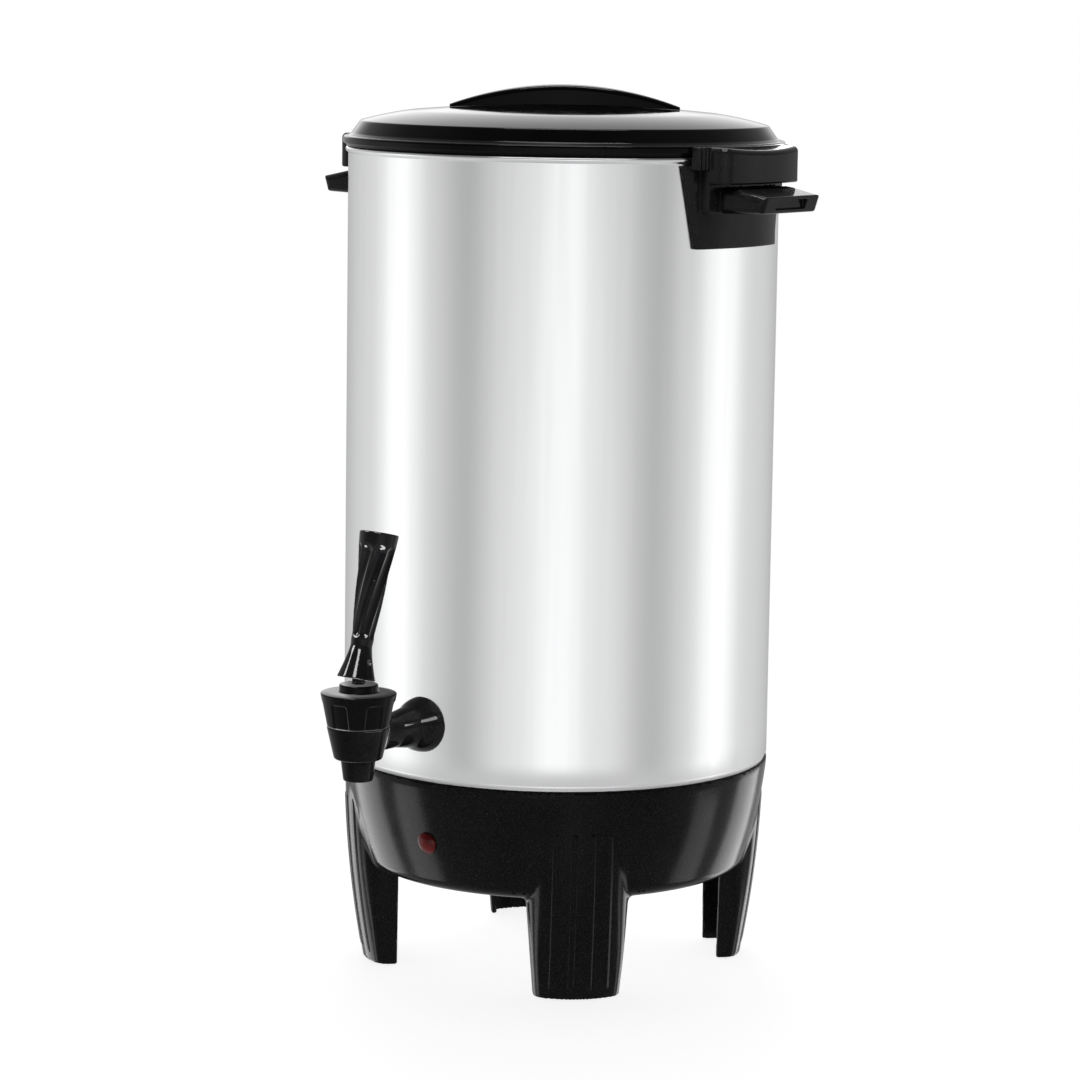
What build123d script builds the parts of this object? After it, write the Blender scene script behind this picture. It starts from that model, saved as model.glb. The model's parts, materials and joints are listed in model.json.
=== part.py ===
from build123d import *
from math import atan, atan2, cos, degrees, hypot, radians, sin, sqrt
import os

# Coffee urn: a steel percolator tank on a four-legged base, with a lever tap.
# Millimetres. The origin is on the tank's axis at the height the legs stand on.
# +Z is up, the tap points along -Y and the two handles along +X and -X.

# ---------------------------------------------------------------- tank
tank_radius = 120.0
tank_height = 340.0
tank_wall = 0.8
base_height = 118.0              # floor to the steel tank's lower edge
joint_gap = 0.3                  # between the tank and the base's upper edge
running_fit = 0.05               # radial clearance of pins and threads
rim_bead_radius = 1.7
rim_bead_inset = 0.2             # the bead's centre lies this far inside the wall's outside
rim_bead_drop = 0.9              # and this far under the wall's upper end
neck_step = 3.0                  # how far the tank's foot steps in to sit in the base
neck_depth = 8.8
well_radius = 30.0
well_depth = 8.0

tank_foot = base_height + joint_gap              # lower edge of the full-width wall
tank_top = base_height + tank_height             # top of the wall, under the bead
tank_inner = tank_radius - tank_wall
neck_radius = tank_radius - neck_step
tank_floor = base_height - neck_depth            # underside of the tank's bottom
well_floor = tank_floor - well_depth             # underside of the heating well
bead_centre = tank_top - rim_bead_drop
rim_top = bead_centre + rim_bead_radius

# ---------------------------------------------------------------- base and legs
base_wall = 2.7
base_band = 3.0                  # straight band below the base's upper edge
base_ledge_depth = 11.0          # from the base's upper edge to where the ledge meets the side
base_ledge_width = 7.0           # how far the ledge reaches in under the tank's foot
base_ledge_thickness = 1.5
base_side_mid_inset = 4.4        # the side is an arc through two more points
base_side_mid_drop = 31.0
base_side_low_inset = 11.6
base_side_low_drop = 58.0
base_floor_drop = 63.0
base_floor_inset = 19.0
cover_inset = 7.5                # from the bowl's flat bottom edge in to the cover
cover_thickness = 1.2
cover_ledge = 3.5
cover_fit = 0.3
cover_slot_rings = (40.0, 62.0)
cover_slots_per_ring = (8, 12)
cover_slot_length = 18.0
cover_slot_width = 4.0

base_side_top = (tank_radius, base_height - base_band)
base_side_mid = (tank_radius - base_side_mid_inset, base_height - base_side_mid_drop)
base_side_low = (tank_radius - base_side_low_inset, base_height - base_side_low_drop)
base_floor_height = base_height - base_floor_drop
base_floor_radius = tank_radius - base_floor_inset
cover_radius = base_floor_radius - cover_inset
base_corner_end = (base_floor_radius, base_floor_height)
base_corner_mid = (
    0.63 * base_side_low[0] + 0.37 * base_corner_end[0],
    0.28 * base_side_low[1] + 0.72 * base_corner_end[1],
)

leg_angles = (45, 135, 225, 315)
leg_foot_inset = 11.5            # the leg's face stands this far inside the tank's radius
leg_mid_inset = 4.6
leg_mid_height = 45.0
leg_top_inset = 0.5
leg_top_drop = 6.0               # from the base's upper edge to where the leg has faded out
leg_foot_half_width = 23.6
leg_half_width_per_height = 0.083
leg_depth = 17.0                 # from the face at the foot to the open back
leg_wall = 2.8
leg_face_radius = 40.0           # how strongly a leg's face bows, seen from above
leg_corner = 4.0
leg_rib_offsets = (-15.0, -5.0, 5.0, 15.0)
leg_rib_width = 1.6
leg_rib_height = 0.5
leg_rib_start = 4.0
leg_rib_drop = 22.0              # from the base's upper edge to the ribs' upper ends

leg_foot_radius = tank_radius - leg_foot_inset
leg_mid_radius = tank_radius - leg_mid_inset
leg_top_radius = tank_radius - leg_top_inset
leg_top_height = base_height - leg_top_drop
leg_back_radius = leg_foot_radius - leg_depth

# ---------------------------------------------------------------- indicator and inlet
lens_drop = 35.0                 # below the base's upper edge
lens_radius = 6.0
lens_stem_radius = 4.6
lens_stem_wall = 1.2
lens_bulge = 2.4
lens_flange = 1.0
lens_length = 9.0
lens_clip_width = 2.9
lens_clip_thickness = 0.6
lamp_gap = 0.3
lamp_tail = 5.0
lamp_tail_radius = 0.4

inlet_drop = 26.0                # below the base's upper edge
inlet_inset = 3.0                # its face stands this far inside the tank's radius
inlet_width = 32.0
inlet_tall = 24.0
inlet_body_width = 27.0
inlet_body_tall = 19.0
inlet_depth = 16.0
inlet_wall = 1.8
inlet_fit = 0.2
inlet_flange = 2.0
inlet_margin = 3.0               # the housing's frame round the inlet
inlet_corner = 4.0
inlet_pin_radius = 1.6
inlet_pin_tail = 5.0
inlet_pin_setback = 4.0
inlet_pins = ((-7.0, -2.0), (0.0, 3.0), (7.0, -2.0))

lens_height = base_height - lens_drop
inlet_height = base_height - inlet_drop
inlet_face = tank_radius - inlet_inset

# ---------------------------------------------------------------- heating parts
stud_radius = 3.0
stud_hole_fit = 0.2
stud_tip = 0.7                   # how far the stud comes through its last nut
nut_across_flats = 10.0
nut_thickness = 4.8
strap_length = 94.0
strap_width = 16.0
strap_thickness = 1.5
spacer_wall = 1.8
element_gap = 9.0                # from the well to the middle of the element's tube
element_tube_radius = 3.2
element_plate_half_width = 5.5
element_plate_thickness = 1.5
element_pin_radius = 1.5
element_pin_length = 12.0
element_pin_offset = 8.0
warmer_thickness = 2.4
warmer_height = 6.0
warmer_lift = 0.6
warmer_gap = 3.0
shield_rise = 29.0               # above the bottom cover's underside
shield_inset = 7.5               # inside the bottom cover's edge
shield_thickness = 0.8
shield_lip = 4.0
thermostat_radius = 8.5
thermostat_tall = 9.0
thermostat_place = 68.0
blade_thickness = 0.8
blade_width = 4.0
blade_length = 6.2
blade_offset = 5.0
fuse_radius = 2.2
fuse_length = 14.0
fuse_tail = 8.0
fuse_tail_radius = 0.6
clip_thickness = 0.8
clip_width = 5.0
clip_length = 26.0
fuse_clip_length = 12.0
lead_radius = 1.1
lead_bend = 4.0
lead_gap = 0.02                  # between a lead's end and its terminal
lead_start = 14.0                # straight run behind the inlet's pins
lead_side = 16.0                 # how far the leads keep inside the thermostat's place
lead_sag = 10.5                  # how far the fuse's leads hang below it

stud_bottom = base_floor_height - nut_thickness - stud_tip
element_radius = well_radius + element_gap
shield_height = base_floor_height + shield_rise
shield_radius = cover_radius - shield_inset

# ---------------------------------------------------------------- tap
tap_rise = 33.0                  # shank centre above the tank's lower edge
tap_stand_off = 54.0             # tank's wall to the tap's own upright axis
tap_flange_radius = 14.5
tap_flange_thickness = 2.6
tap_flange_edge = 1.2
tap_flare_length = 13.0
tap_pipe_radius = 10.2
tap_bore_radius = 5.5
tap_bore_rise = 1.0
shank_radius = 8.0
shank_inner_length = 15.0
shank_hole_fit = 0.3
tap_washer_radius = 13.2
tap_washer_thickness = 1.6
tap_washer_fit = 0.1
tap_nut_across_flats = 24.0
tap_nut_thickness = 6.0
spout_drop = 23.8                # all drops and rises from the shank's centre
spout_bottom_radius = 7.9
spout_top_radius = 9.7
spout_bore_radius = 5.6
valve_foot_drop = 11.0
valve_foot_radius = 13.7
valve_foot_chamfer = 1.6
valve_foot_step = 1.0
seam_rise = 5.7
seam_radius = 17.2
seam_gap = 0.15
valve_neck_radius = 13.4
valve_neck_height = 9.0
valve_cavity_radius = 10.6
valve_seat_drop = 5.0
bonnet_radius = 19.9
bonnet_height = 17.5
bonnet_crown = 2.2
bonnet_edge = 0.8
bonnet_relief = 0.6              # clearance from the bonnet's skirt to the pipe
bonnet_flutes = 6
bonnet_flute_turn = 37.0
bonnet_flute_radius = 3.0
bonnet_flute_depth = 1.0
collar_radius = 10.0
collar_height = 3.0
collar_edge = 0.7

stem_radius = 3.0
stem_fit = 0.4                   # radial room for the stem in the bonnet
stem_travel = 4.0
stem_neck = 1.1                  # how far the round stem stands out of the collar
stem_flat = 5.0
stem_eye_above_pin = 3.4
pin_radius = 1.5
cup_radius = 8.6
cup_side_gap = 1.2
cup_chamfer = 1.0
cup_wall = 1.6
cup_floor_gap = 0.05
cup_head_room = 0.3              # left between the raised cup and the bonnet
bonnet_ceiling = 2.0             # solid part of the bonnet above its cavity
lever_travel = 38.0              # degrees from the rest position, towards the user
lever_lean = 13.5                # degrees that the lever leans back at rest
lever_skirt_radius = 10.6
lever_skirt_drop = 9.5           # pin down to the skirt's lower edge
lever_waist_radius = 5.8
lever_waist_rise = 7.0           # pin up to the waist
lever_top_radius = 10.6
lever_top_rise = 69.0
lever_edge = 0.8
lever_flutes = 8
lever_flute_radius = 1.7
lever_flute_twist = 60.0         # degrees that a flute winds round the lever
lever_flute_start = 0.14         # shares of the lever's height over its waist
lever_flute_share = 0.66
lever_slot_gap = 0.35
lever_mouth_gap = 1.2
lever_foot_clearance = 0.35

tap_height = base_height + tap_rise
tap_reach = tank_radius + tap_stand_off
tap_axis = Pos(0, -tap_reach, 0)
spout_bottom = tap_height - spout_drop
valve_foot_height = tap_height - valve_foot_drop
valve_seat_height = tap_height - valve_seat_drop
seam_height = tap_height + seam_rise
bonnet_top = seam_height + bonnet_height
collar_top = bonnet_top + bonnet_crown + collar_height
pin_height = (
    collar_top
    + lever_foot_clearance
    + lever_skirt_drop * cos(radians(lever_lean))
    + lever_skirt_radius * sin(radians(lever_lean))
)
cup_bottom = valve_seat_height + cup_floor_gap
cup_top = bonnet_top - bonnet_ceiling - cup_head_room - stem_travel
stem_foot = cup_bottom + cup_wall
stem_shoulder = collar_top + stem_neck
tap_face = tank_radius + tap_washer_thickness    # tank axis to the back of the tap's flange

# ---------------------------------------------------------------- handles
handle_clearance = 0.3
handle_rise = 5.4                # the handle's top above the rim
handle_tall = 54.6
handle_ledge_drop = 35.6         # all drops from the handle's top
handle_flange_top_drop = 10.2
handle_box_drop = 19.8
handle_flange_half_low = 37.1
handle_flange_half_high = 45.9
handle_flange_thickness = 2.6
handle_plate_inset = 1.5
handle_plate_thickness = 3.6
handle_half_width = 35.0
handle_back_thickness = 7.6
handle_box_reach = 18.0          # from the tank's wall
handle_box_wall = 3.0
handle_tongue_reach = 34.0
handle_tongue_half_width = 27.5
handle_tongue_lift = 0.8         # above the ledge
handle_tongue_tip = 9.4
handle_tongue_draft = 3.0
handle_tongue_corner = 3.0
handle_tongue_slope = 6.0        # the tongue's top meets the box this far inside its face
handle_slot = 3.2
handle_lug_width = 7.0
handle_lug_thickness = 4.5
handle_rim_gap = 4.2             # from the tank's wall to what stands beside the rim
handle_recess_half_width = 14.0
handle_recess_height = 5.0
handle_recess_depth = 1.2
handle_screw_rise = 8.4          # above the ledge
handle_screw_angles = (-7.5, 7.5)
handle_screw_radius = 2.0
handle_screw_fit = 0.2
handle_screw_thread_fit = 0.02
handle_screw_head_radius = 4.0
handle_screw_head = 2.2
handle_screw_slot = 1.0
handle_screw_grip = 6.4          # how far a screw reaches into the handle
handle_screw_tip_room = 0.4
handle_washer_radius = 5.5
handle_washer_thickness = 0.8

handle_inner = tank_radius + handle_clearance
handle_top = rim_top + handle_rise
handle_bottom = handle_top - handle_tall
handle_ledge = handle_top - handle_ledge_drop
handle_flange_top = handle_top - handle_flange_top_drop
handle_box_bottom = handle_top - handle_box_drop
handle_box_radius = tank_radius + handle_box_reach
handle_tongue_radius = tank_radius + handle_tongue_reach
handle_tongue_bottom = handle_ledge + handle_tongue_lift
handle_tongue_tip_top = handle_tongue_bottom + handle_tongue_tip
handle_lug_inner_radius = tank_radius + handle_rim_gap
handle_screw_height = handle_ledge + handle_screw_rise

# ---------------------------------------------------------------- lid
seat_gap = 0.2                   # between the lid and the rim it rests on
lid_flange_overhang = 2.9        # beyond the tank's wall
lid_flange_rise = 1.6            # above the rim
lid_flange_thickness = 4.2
lid_flange_edge = 0.9
lid_slope_inset = 1.6            # insets from the tank's radius, rises from the rim
lid_slope_rise = 7.2
lid_ridge_inset = 6.5
lid_ridge_rise = 14.1
lid_shoulder_mid_inset = 19.0
lid_shoulder_mid_rise = 17.3
lid_shoulder_inset = 34.0
lid_shoulder_rise = 20.0
lid_crown_rise = 4.1             # the dome's height over its shoulder
lid_thickness = 2.4
lid_plug_gap = 1.6               # between the plug ring and the tank's inside
lid_plug_depth = 9.0
lid_plug_wall = 2.2
lid_plug_lead = 2.0
lid_seat_width = 1.0

knob_half_length = 64.0
knob_half_width = 15.0
knob_tip_half_width = 3.0
knob_tip_drop = 0.6              # below the dome's crown
knob_rise = 10.8                 # above the dome's crown
knob_edge = 2.6
knob_shift = -3.0                # the arch's crown is a little off the lid's centre
knob_turn = 37.0                 # the grip's angle about +Z, from the X axis
knob_seat = 0.1
knob_screw_offset = 22.0
knob_screw_radius = 1.8
knob_screw_fit = 0.2
knob_screw_thread_fit = 0.02
knob_screw_grip = 5.0
knob_screw_tip_room = 0.5
knob_screw_head_radius = 3.6
knob_screw_head = 2.0
knob_screw_head_gap = 0.15
knob_screw_cross = (4.4, 0.9, 0.8)

lid_flange_radius = tank_radius + lid_flange_overhang
lid_flange_bottom = rim_top + lid_flange_rise
lid_flange_top = lid_flange_bottom + lid_flange_thickness
lid_slope_foot = (tank_radius - lid_slope_inset, rim_top + lid_slope_rise)
lid_ridge = (tank_radius - lid_ridge_inset, rim_top + lid_ridge_rise)
lid_shoulder_mid = (tank_radius - lid_shoulder_mid_inset, rim_top + lid_shoulder_mid_rise)
lid_shoulder = (tank_radius - lid_shoulder_inset, rim_top + lid_shoulder_rise)
lid_crown_height = lid_shoulder[1] + lid_crown_rise
lid_plug_radius = tank_inner - lid_plug_gap
knob_tip_height = lid_crown_height - knob_tip_drop
knob_top_height = lid_crown_height + knob_rise

# ---------------------------------------------------------------- brewing parts
pump_tube_radius = 5.0
pump_tube_wall = 0.8
pump_tube_rise = 23.0            # above the basket's rim
pump_foot_radius = 28.0
pump_foot_height = 12.0
pump_foot_wall = 1.0
pump_seat_gap = 0.3
pump_bell_shoulder_inset = 3.2   # inside the bell: where its lip turns into the cone
pump_bell_shoulder_rise = 4.6
pump_bell_lip_inset = 2.0        # the same, outside
pump_bell_lip_rise = 5.0
pump_bell_neck = 3.0
pump_guide_gap = 0.05
pump_guide_thickness = 0.7
pump_guide_hole = 3.0
pump_guide_ports = 6
pump_guide_port_ring = 6.0
pump_guide_port_radius = 1.2
pump_washer_radius = 9.0
pump_washer_hole = 3.2
pump_washer_thickness = 1.0
pump_shoulder_radius = 7.5
pump_shoulder_height = 4.0
pump_shoulder_slope = 2.0

basket_drop = 132.0              # the basket's bottom below the tank's top
basket_side_gap = 42.0           # between the basket and the tank's wall
basket_height = 92.0
basket_wall = 0.8
basket_foot_chamfer = 3.0
basket_bead_radius = 1.2
basket_hub_height = 88.0
basket_hub_gap = 0.4
basket_hole_radius = 1.6
basket_hole_rings = (24.0, 40.0, 56.0)
basket_holes_per_ring = (10, 16, 22)
basket_cover_gap = 0.2
basket_cover_thickness = 0.8
basket_cover_overhang = 1.0
basket_cover_lip = 4.0
basket_cover_lip_offset = 3.2

basket_bottom = tank_top - basket_drop
basket_top = basket_bottom + basket_height
basket_radius = tank_radius - basket_side_gap
pump_tube_top = basket_top + pump_tube_rise
pump_foot = well_floor + tank_wall + pump_seat_gap
pump_guide_top = pump_foot + pump_bell_shoulder_rise


# ---------------------------------------------------------------- helpers
def export(shape, node):
    export_step(shape, "parts/" + node + ".step")


def group(solids, node):
    """Several identical pieces in one node, each its own solid."""
    export(Compound(children=list(solids)), node)


def revolved(points):
    """A closed outline of (radius, height) points turned about the Z axis."""
    outline = Plane.XZ * Polyline(*points, close=True)
    return revolve(make_face(outline), Axis.Z)


def outline_face(plane, parts):
    """The face inside a closed run of lines, arcs and polylines drawn on a plane."""
    edges = [edge for part in parts for edge in (plane * part).edges()]
    return make_face(edges)


def revolved_edges(parts):
    """A closed outline of lines and arcs in the XZ plane turned about the Z axis."""
    return revolve(outline_face(Plane.XZ, parts), Axis.Z)


def tube(outer, inner, bottom, top):
    ring = Cylinder(outer, top - bottom) - Cylinder(inner, top - bottom)
    return Pos(0, 0, (bottom + top) / 2) * ring


def disc(radius, bottom, top):
    return Pos(0, 0, (bottom + top) / 2) * Cylinder(radius, top - bottom)


def rod_x(radius, x0, x1, y, z):
    return Pos((x0 + x1) / 2, y, z) * Rot(0, 90, 0) * Cylinder(radius, abs(x1 - x0))


def rod_y(radius, y0, y1, x, z):
    return Pos(x, (y0 + y1) / 2, z) * Rot(90, 0, 0) * Cylinder(radius, abs(y1 - y0))


def hex_prism(across_flats, bottom, top, hole):
    prism = extrude(RegularPolygon(across_flats / 2, 6, major_radius=False), top - bottom)
    return Pos(0, 0, bottom) * prism - disc(hole, bottom, top)


def turned(shape, angle):
    return Rot(0, 0, angle) * shape


def curved_block(inner, outer, y0, y1, bottom, top):
    """The part of a ring on the +X side that lies between two values of Y."""
    middle = Pos(outer, (y0 + y1) / 2, (bottom + top) / 2)
    return tube(outer, inner, bottom, top) & middle * Box(2 * outer, y1 - y0, top - bottom)


# ---------------------------------------------------------------- tank
def tank_shell():
    """The steel tank: wall, stepped foot, bottom, heating well and rolled rim."""
    wall = tank_wall
    outline = [
        (0, well_floor),
        (well_radius + wall, well_floor),
        (well_radius + wall, tank_floor),
        (neck_radius, tank_floor),
        (neck_radius, tank_foot),
        (tank_radius, tank_foot),
        (tank_radius, tank_top),
        (tank_inner, tank_top),
        (tank_inner, tank_foot + wall),
        (neck_radius - wall, tank_foot + wall),
        (neck_radius - wall, tank_floor + wall),
        (well_radius, tank_floor + wall),
        (well_radius, well_floor + wall),
        (0, well_floor + wall),
    ]
    shell = revolved(outline)
    bead = Pos(0, 0, bead_centre) * Torus(tank_radius - rim_bead_inset, rim_bead_radius)
    shell = shell + bead
    wall_middle = tank_radius - tank_wall / 2
    cut = 6 * tank_wall
    hole_radius = shank_radius + shank_hole_fit
    shell -= rod_y(hole_radius, -wall_middle - cut, -wall_middle + cut, 0, tap_height)
    hole_radius = handle_screw_radius + handle_screw_fit
    hole = rod_x(hole_radius, wall_middle - cut, wall_middle + cut, 0, handle_screw_height)
    for side in (0, 180):
        for angle in handle_screw_angles:
            shell -= turned(hole, side + angle)
    return shell


# ---------------------------------------------------------------- base with legs
def arc_radius(height, top_point, mid_point, low_point):
    """The radius at a height on the circle through three (radius, height) points."""
    (x1, y1), (x2, y2), (x3, y3) = top_point, mid_point, low_point
    a = x2 - x1, y2 - y1
    b = x3 - x1, y3 - y1
    cross = 2 * (a[0] * b[1] - a[1] * b[0])
    aa, bb = a[0] ** 2 + a[1] ** 2, b[0] ** 2 + b[1] ** 2
    cx = x1 + (b[1] * aa - a[1] * bb) / cross
    cy = y1 + (a[0] * bb - b[0] * aa) / cross
    circle = hypot(x1 - cx, y1 - cy)
    return cx + sqrt(circle**2 - (height - cy) ** 2)


def base_radius(height):
    return arc_radius(height, base_side_top, base_side_mid, base_side_low)


def base_outside():
    """The bowl as a full solid, for trimming the legs."""
    edges = [
        Line((0, base_floor_height), base_corner_end),
        ThreePointArc(base_corner_end, base_corner_mid, base_side_low),
        ThreePointArc(base_side_low, base_side_mid, base_side_top),
        Line(base_side_top, (tank_radius, base_height)),
        Line((tank_radius, base_height), (0, base_height)),
        Line((0, base_height), (0, base_floor_height)),
    ]
    return revolved_edges(edges)


def base_bowl():
    """The bowl's wall, with a ledge for the tank and a rabbet for the bottom cover."""
    ledge_bottom = base_side_top[1] - base_ledge_depth
    inner_low = (base_side_low[0] - base_wall, base_side_low[1] + base_wall)
    inner_mid = (base_side_mid[0] - base_wall, base_side_mid[1])
    inner_top = (base_radius(ledge_bottom) - base_wall, ledge_bottom)
    ring_inner = neck_radius + joint_gap
    ledge_inner = neck_radius - base_ledge_width
    rabbet_top = base_floor_height + cover_thickness
    floor_top = rabbet_top + base_wall
    rabbet_radius = cover_radius + cover_fit
    edges = [
        Line((rabbet_radius, base_floor_height), base_corner_end),
        ThreePointArc(base_corner_end, base_corner_mid, base_side_low),
        ThreePointArc(base_side_low, base_side_mid, base_side_top),
        Polyline(
            base_side_top,
            (tank_radius, base_height),
            (ring_inner, base_height),
            (ring_inner, tank_floor),
            (ledge_inner, tank_floor),
            (ledge_inner, tank_floor - base_ledge_thickness),
            inner_top,
        ),
        ThreePointArc(inner_top, inner_mid, inner_low),
        Polyline(
            inner_low,
            (base_floor_radius - cover_thickness, floor_top),
            (cover_radius - cover_ledge, floor_top),
            (cover_radius - cover_ledge, rabbet_top),
            (rabbet_radius, rabbet_top),
            (rabbet_radius, base_floor_height),
        ),
    ]
    return revolved_edges(edges)


def leg_section(height, half_width, outer_radius, corner):
    """A leg's cross-section at one height, open shape of the leg that points along -Y."""
    plan = Rectangle(2 * half_width, outer_radius, align=(Align.CENTER, Align.MAX))
    plan -= Rectangle(2 * half_width, leg_back_radius, align=(Align.CENTER, Align.MAX))
    plan &= Pos(0, leg_face_radius - outer_radius) * Circle(leg_face_radius)
    front = [v for v in plan.vertices() if v.Y < -leg_back_radius - leg_wall]
    return Pos(0, 0, height) * fillet(front, corner)


def leg_block(inset, foot):
    """One leg's form along -Y, set in by inset: it widens upwards and its face bows."""
    stations = (
        (foot, leg_foot_radius),
        (leg_mid_height, leg_mid_radius),
        (leg_top_height, leg_top_radius),
    )
    sections = []
    for height, radius in stations:
        half = leg_foot_half_width + leg_half_width_per_height * height - inset
        sections.append(leg_section(height, half, radius - inset, leg_corner - inset))
    return loft(sections)


def leg():
    """A hollow leg, open towards the tank's axis, with shallow ribs down its face."""
    void = leg_block(leg_wall, -leg_wall)
    void += Pos(0, -leg_back_radius, leg_top_height / 2 - leg_wall) * Box(
        2 * (leg_foot_half_width - leg_wall), 2 * leg_wall, leg_top_height
    )
    shell = leg_block(0, 0) - void
    rib_end = base_height - leg_rib_drop
    rib_limit = leg_block(-leg_rib_height, 0) & disc(2 * tank_radius, leg_rib_start, rib_end)
    for offset in leg_rib_offsets:
        rib = Pos(offset, -leg_top_radius, leg_top_height / 2) * Box(
            leg_rib_width, 2 * leg_depth, leg_top_height
        )
        shell += rib & rib_limit - void
    return shell


def base_housing():
    """The black moulded bowl and its four legs, one moulding."""
    bowl = base_bowl()
    one_leg = leg() - base_outside()
    for angle in leg_angles:
        bowl += turned(one_leg, angle)
    lens_axis = lens_plane()
    bowl -= lens_axis * Cylinder(lens_stem_radius + running_fit, 4 * base_wall)
    pad = inlet_pad()
    bowl += pad
    fit = 2 * inlet_fit
    bowl -= Pos(0, inlet_face - inlet_flange - inlet_depth / 2, inlet_height) * Box(
        inlet_body_width + fit, 2 * inlet_depth, inlet_body_tall + fit
    )
    bowl -= Pos(0, inlet_face, inlet_height) * Box(
        inlet_width + fit, 2 * inlet_flange, inlet_tall + fit
    )
    return bowl


def lens_plane():
    """Placement of the indicator lens: its axis stands square to the bowl's side."""
    above, below = lens_height + lens_radius, lens_height - lens_radius
    lean = degrees(atan2(base_radius(above) - base_radius(below), above - below))
    return Pos(0, -base_radius(lens_height), lens_height) * Rot(90 + lean, 0, 0)


def inlet_pad():
    """A flat-faced boss on the bowl's back that carries the mains inlet."""
    width, tall = inlet_width + 2 * inlet_margin, inlet_tall + 2 * inlet_margin
    block = Pos(0, inlet_face - inlet_depth / 2, inlet_height) * Box(width, inlet_depth, tall)
    block = fillet(block.edges().filter_by(Axis.Y), inlet_corner)
    return block - base_inside()


def base_inside():
    """The space inside the bowl's wall, as a full solid."""
    low = (base_side_low[0] - base_wall, base_side_low[1] + base_wall)
    mid = (base_side_mid[0] - base_wall, base_side_mid[1])
    top_height = base_side_top[1] - base_ledge_depth
    top = (base_radius(top_height) - base_wall, top_height)
    edges = [
        Line((0, low[1]), low),
        ThreePointArc(low, mid, top),
        Line(top, (0, top[1])),
        Line((0, top[1]), (0, low[1])),
    ]
    return revolved_edges(edges)


def bottom_cover():
    """The vented steel plate that closes the bowl from below."""
    plate = disc(cover_radius, base_floor_height, base_floor_height + cover_thickness)
    hole_radius = stud_radius + stud_hole_fit
    plate -= disc(hole_radius, base_floor_height, base_floor_height + cover_thickness)
    outline = SlotOverall(cover_slot_length, cover_slot_width)
    slot = Pos(0, 0, base_floor_height) * extrude(outline, cover_thickness)
    for ring, slots in zip(cover_slot_rings, cover_slots_per_ring):
        for i in range(slots):
            plate -= turned(Pos(ring, 0, 0) * slot, i * 360 / slots)
    return plate


# ---------------------------------------------------------------- indicator and inlet
def indicator_lens():
    """A domed red lens with a stem that passes through the bowl's side."""
    skin = running_fit
    cap = disc(lens_radius, skin, lens_flange)
    dome_sphere = (lens_radius**2 + lens_bulge**2) / (2 * lens_bulge)
    dome = Pos(0, 0, lens_flange + lens_bulge - dome_sphere) * Sphere(dome_sphere)
    dome &= disc(lens_radius, lens_flange, lens_flange + lens_bulge)
    stem = disc(lens_stem_radius, -lens_length, skin)
    bore = disc(lens_stem_radius - lens_stem_wall, -lens_length, -lens_stem_wall / 2)
    return lens_plane() * (cap + dome + stem - bore)


def indicator_lamp():
    """A small neon bulb inside the lens's stem, with its two wire tails."""
    glass = lens_stem_radius - lens_stem_wall - lamp_gap
    back = -lens_length - glass
    bulb = disc(glass, back, -lens_stem_wall)
    for side in (-1, 1):
        bulb += Pos(side * glass / 2, 0, 0) * disc(lamp_tail_radius, back - lamp_tail, back)
    return lens_plane() * bulb


def lens_clip():
    """A push-on spring washer that holds the lens from inside the bowl."""
    back = -base_wall - joint_gap - running_fit
    inner = lens_stem_radius + running_fit
    return lens_plane() * tube(inner + lens_clip_width, inner, back - lens_clip_thickness, back)


def power_inlet():
    """A mains inlet: flange, shrouded socket and its three pins."""
    flange = Pos(0, inlet_face - inlet_flange / 2, inlet_height) * Box(
        inlet_width, inlet_flange, inlet_tall
    )
    body_length = inlet_depth + inlet_flange
    body = Pos(0, inlet_face - body_length / 2, inlet_height) * Box(
        inlet_body_width, body_length, inlet_body_tall
    )
    pocket_length = body_length - inlet_wall
    pocket = Pos(0, inlet_face - pocket_length / 2, inlet_height) * Box(
        inlet_body_width - 2 * inlet_wall,
        pocket_length,
        inlet_body_tall - 2 * inlet_wall,
    )
    body = flange + body - pocket
    tip = inlet_face - inlet_pin_setback
    for x, z in inlet_pins:
        body += rod_y(inlet_pin_radius, inlet_pin_back(), tip, x, inlet_height + z)
    return body


def inlet_pin_back():
    """How far in the inlet's pins reach, where the leads are fixed to them."""
    return inlet_face - inlet_flange - inlet_depth - inlet_pin_tail


# ---------------------------------------------------------------- heating parts
def centre_stud():
    """The stud welded under the heating well that everything below hangs from."""
    return disc(stud_radius, stud_bottom, well_floor)


def strap():
    """The steel strap that presses the elements against the tank's bottom."""
    top = well_floor
    bar = Pos(0, 0, top - strap_thickness / 2) * Box(strap_length, strap_width, strap_thickness)
    return bar - disc(stud_radius + stud_hole_fit, top - strap_thickness, top)


def stud_nuts():
    """Nuts on the centre stud: under the strap, the heat shield and the cover."""
    tops = (
        well_floor - strap_thickness,
        shield_height,
        base_floor_height,
    )
    return [
        hex_prism(nut_across_flats, top - nut_thickness, top, stud_radius + running_fit)
        for top in tops
    ]


def shield_spacer():
    """The sleeve between the strap's nut and the heat shield."""
    top = well_floor - strap_thickness - nut_thickness
    inner = stud_radius + stud_hole_fit
    return tube(inner + spacer_wall, inner, shield_height + shield_thickness, top)


def heat_shield():
    """A bright steel disc that keeps heat off the bottom cover, lip turned up."""
    top = shield_height + shield_thickness
    plate = disc(shield_radius, shield_height, top)
    plate += tube(shield_radius, shield_radius - shield_thickness, shield_height, top + shield_lip)
    return plate - disc(stud_radius + stud_hole_fit, shield_height, top)


def element_plate():
    """The aluminium ring pressed to the tank's bottom that spreads the heat."""
    outer = element_radius + element_plate_half_width
    inner = element_radius - element_plate_half_width
    return tube(outer, inner, tank_floor - element_plate_thickness, tank_floor)


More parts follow.
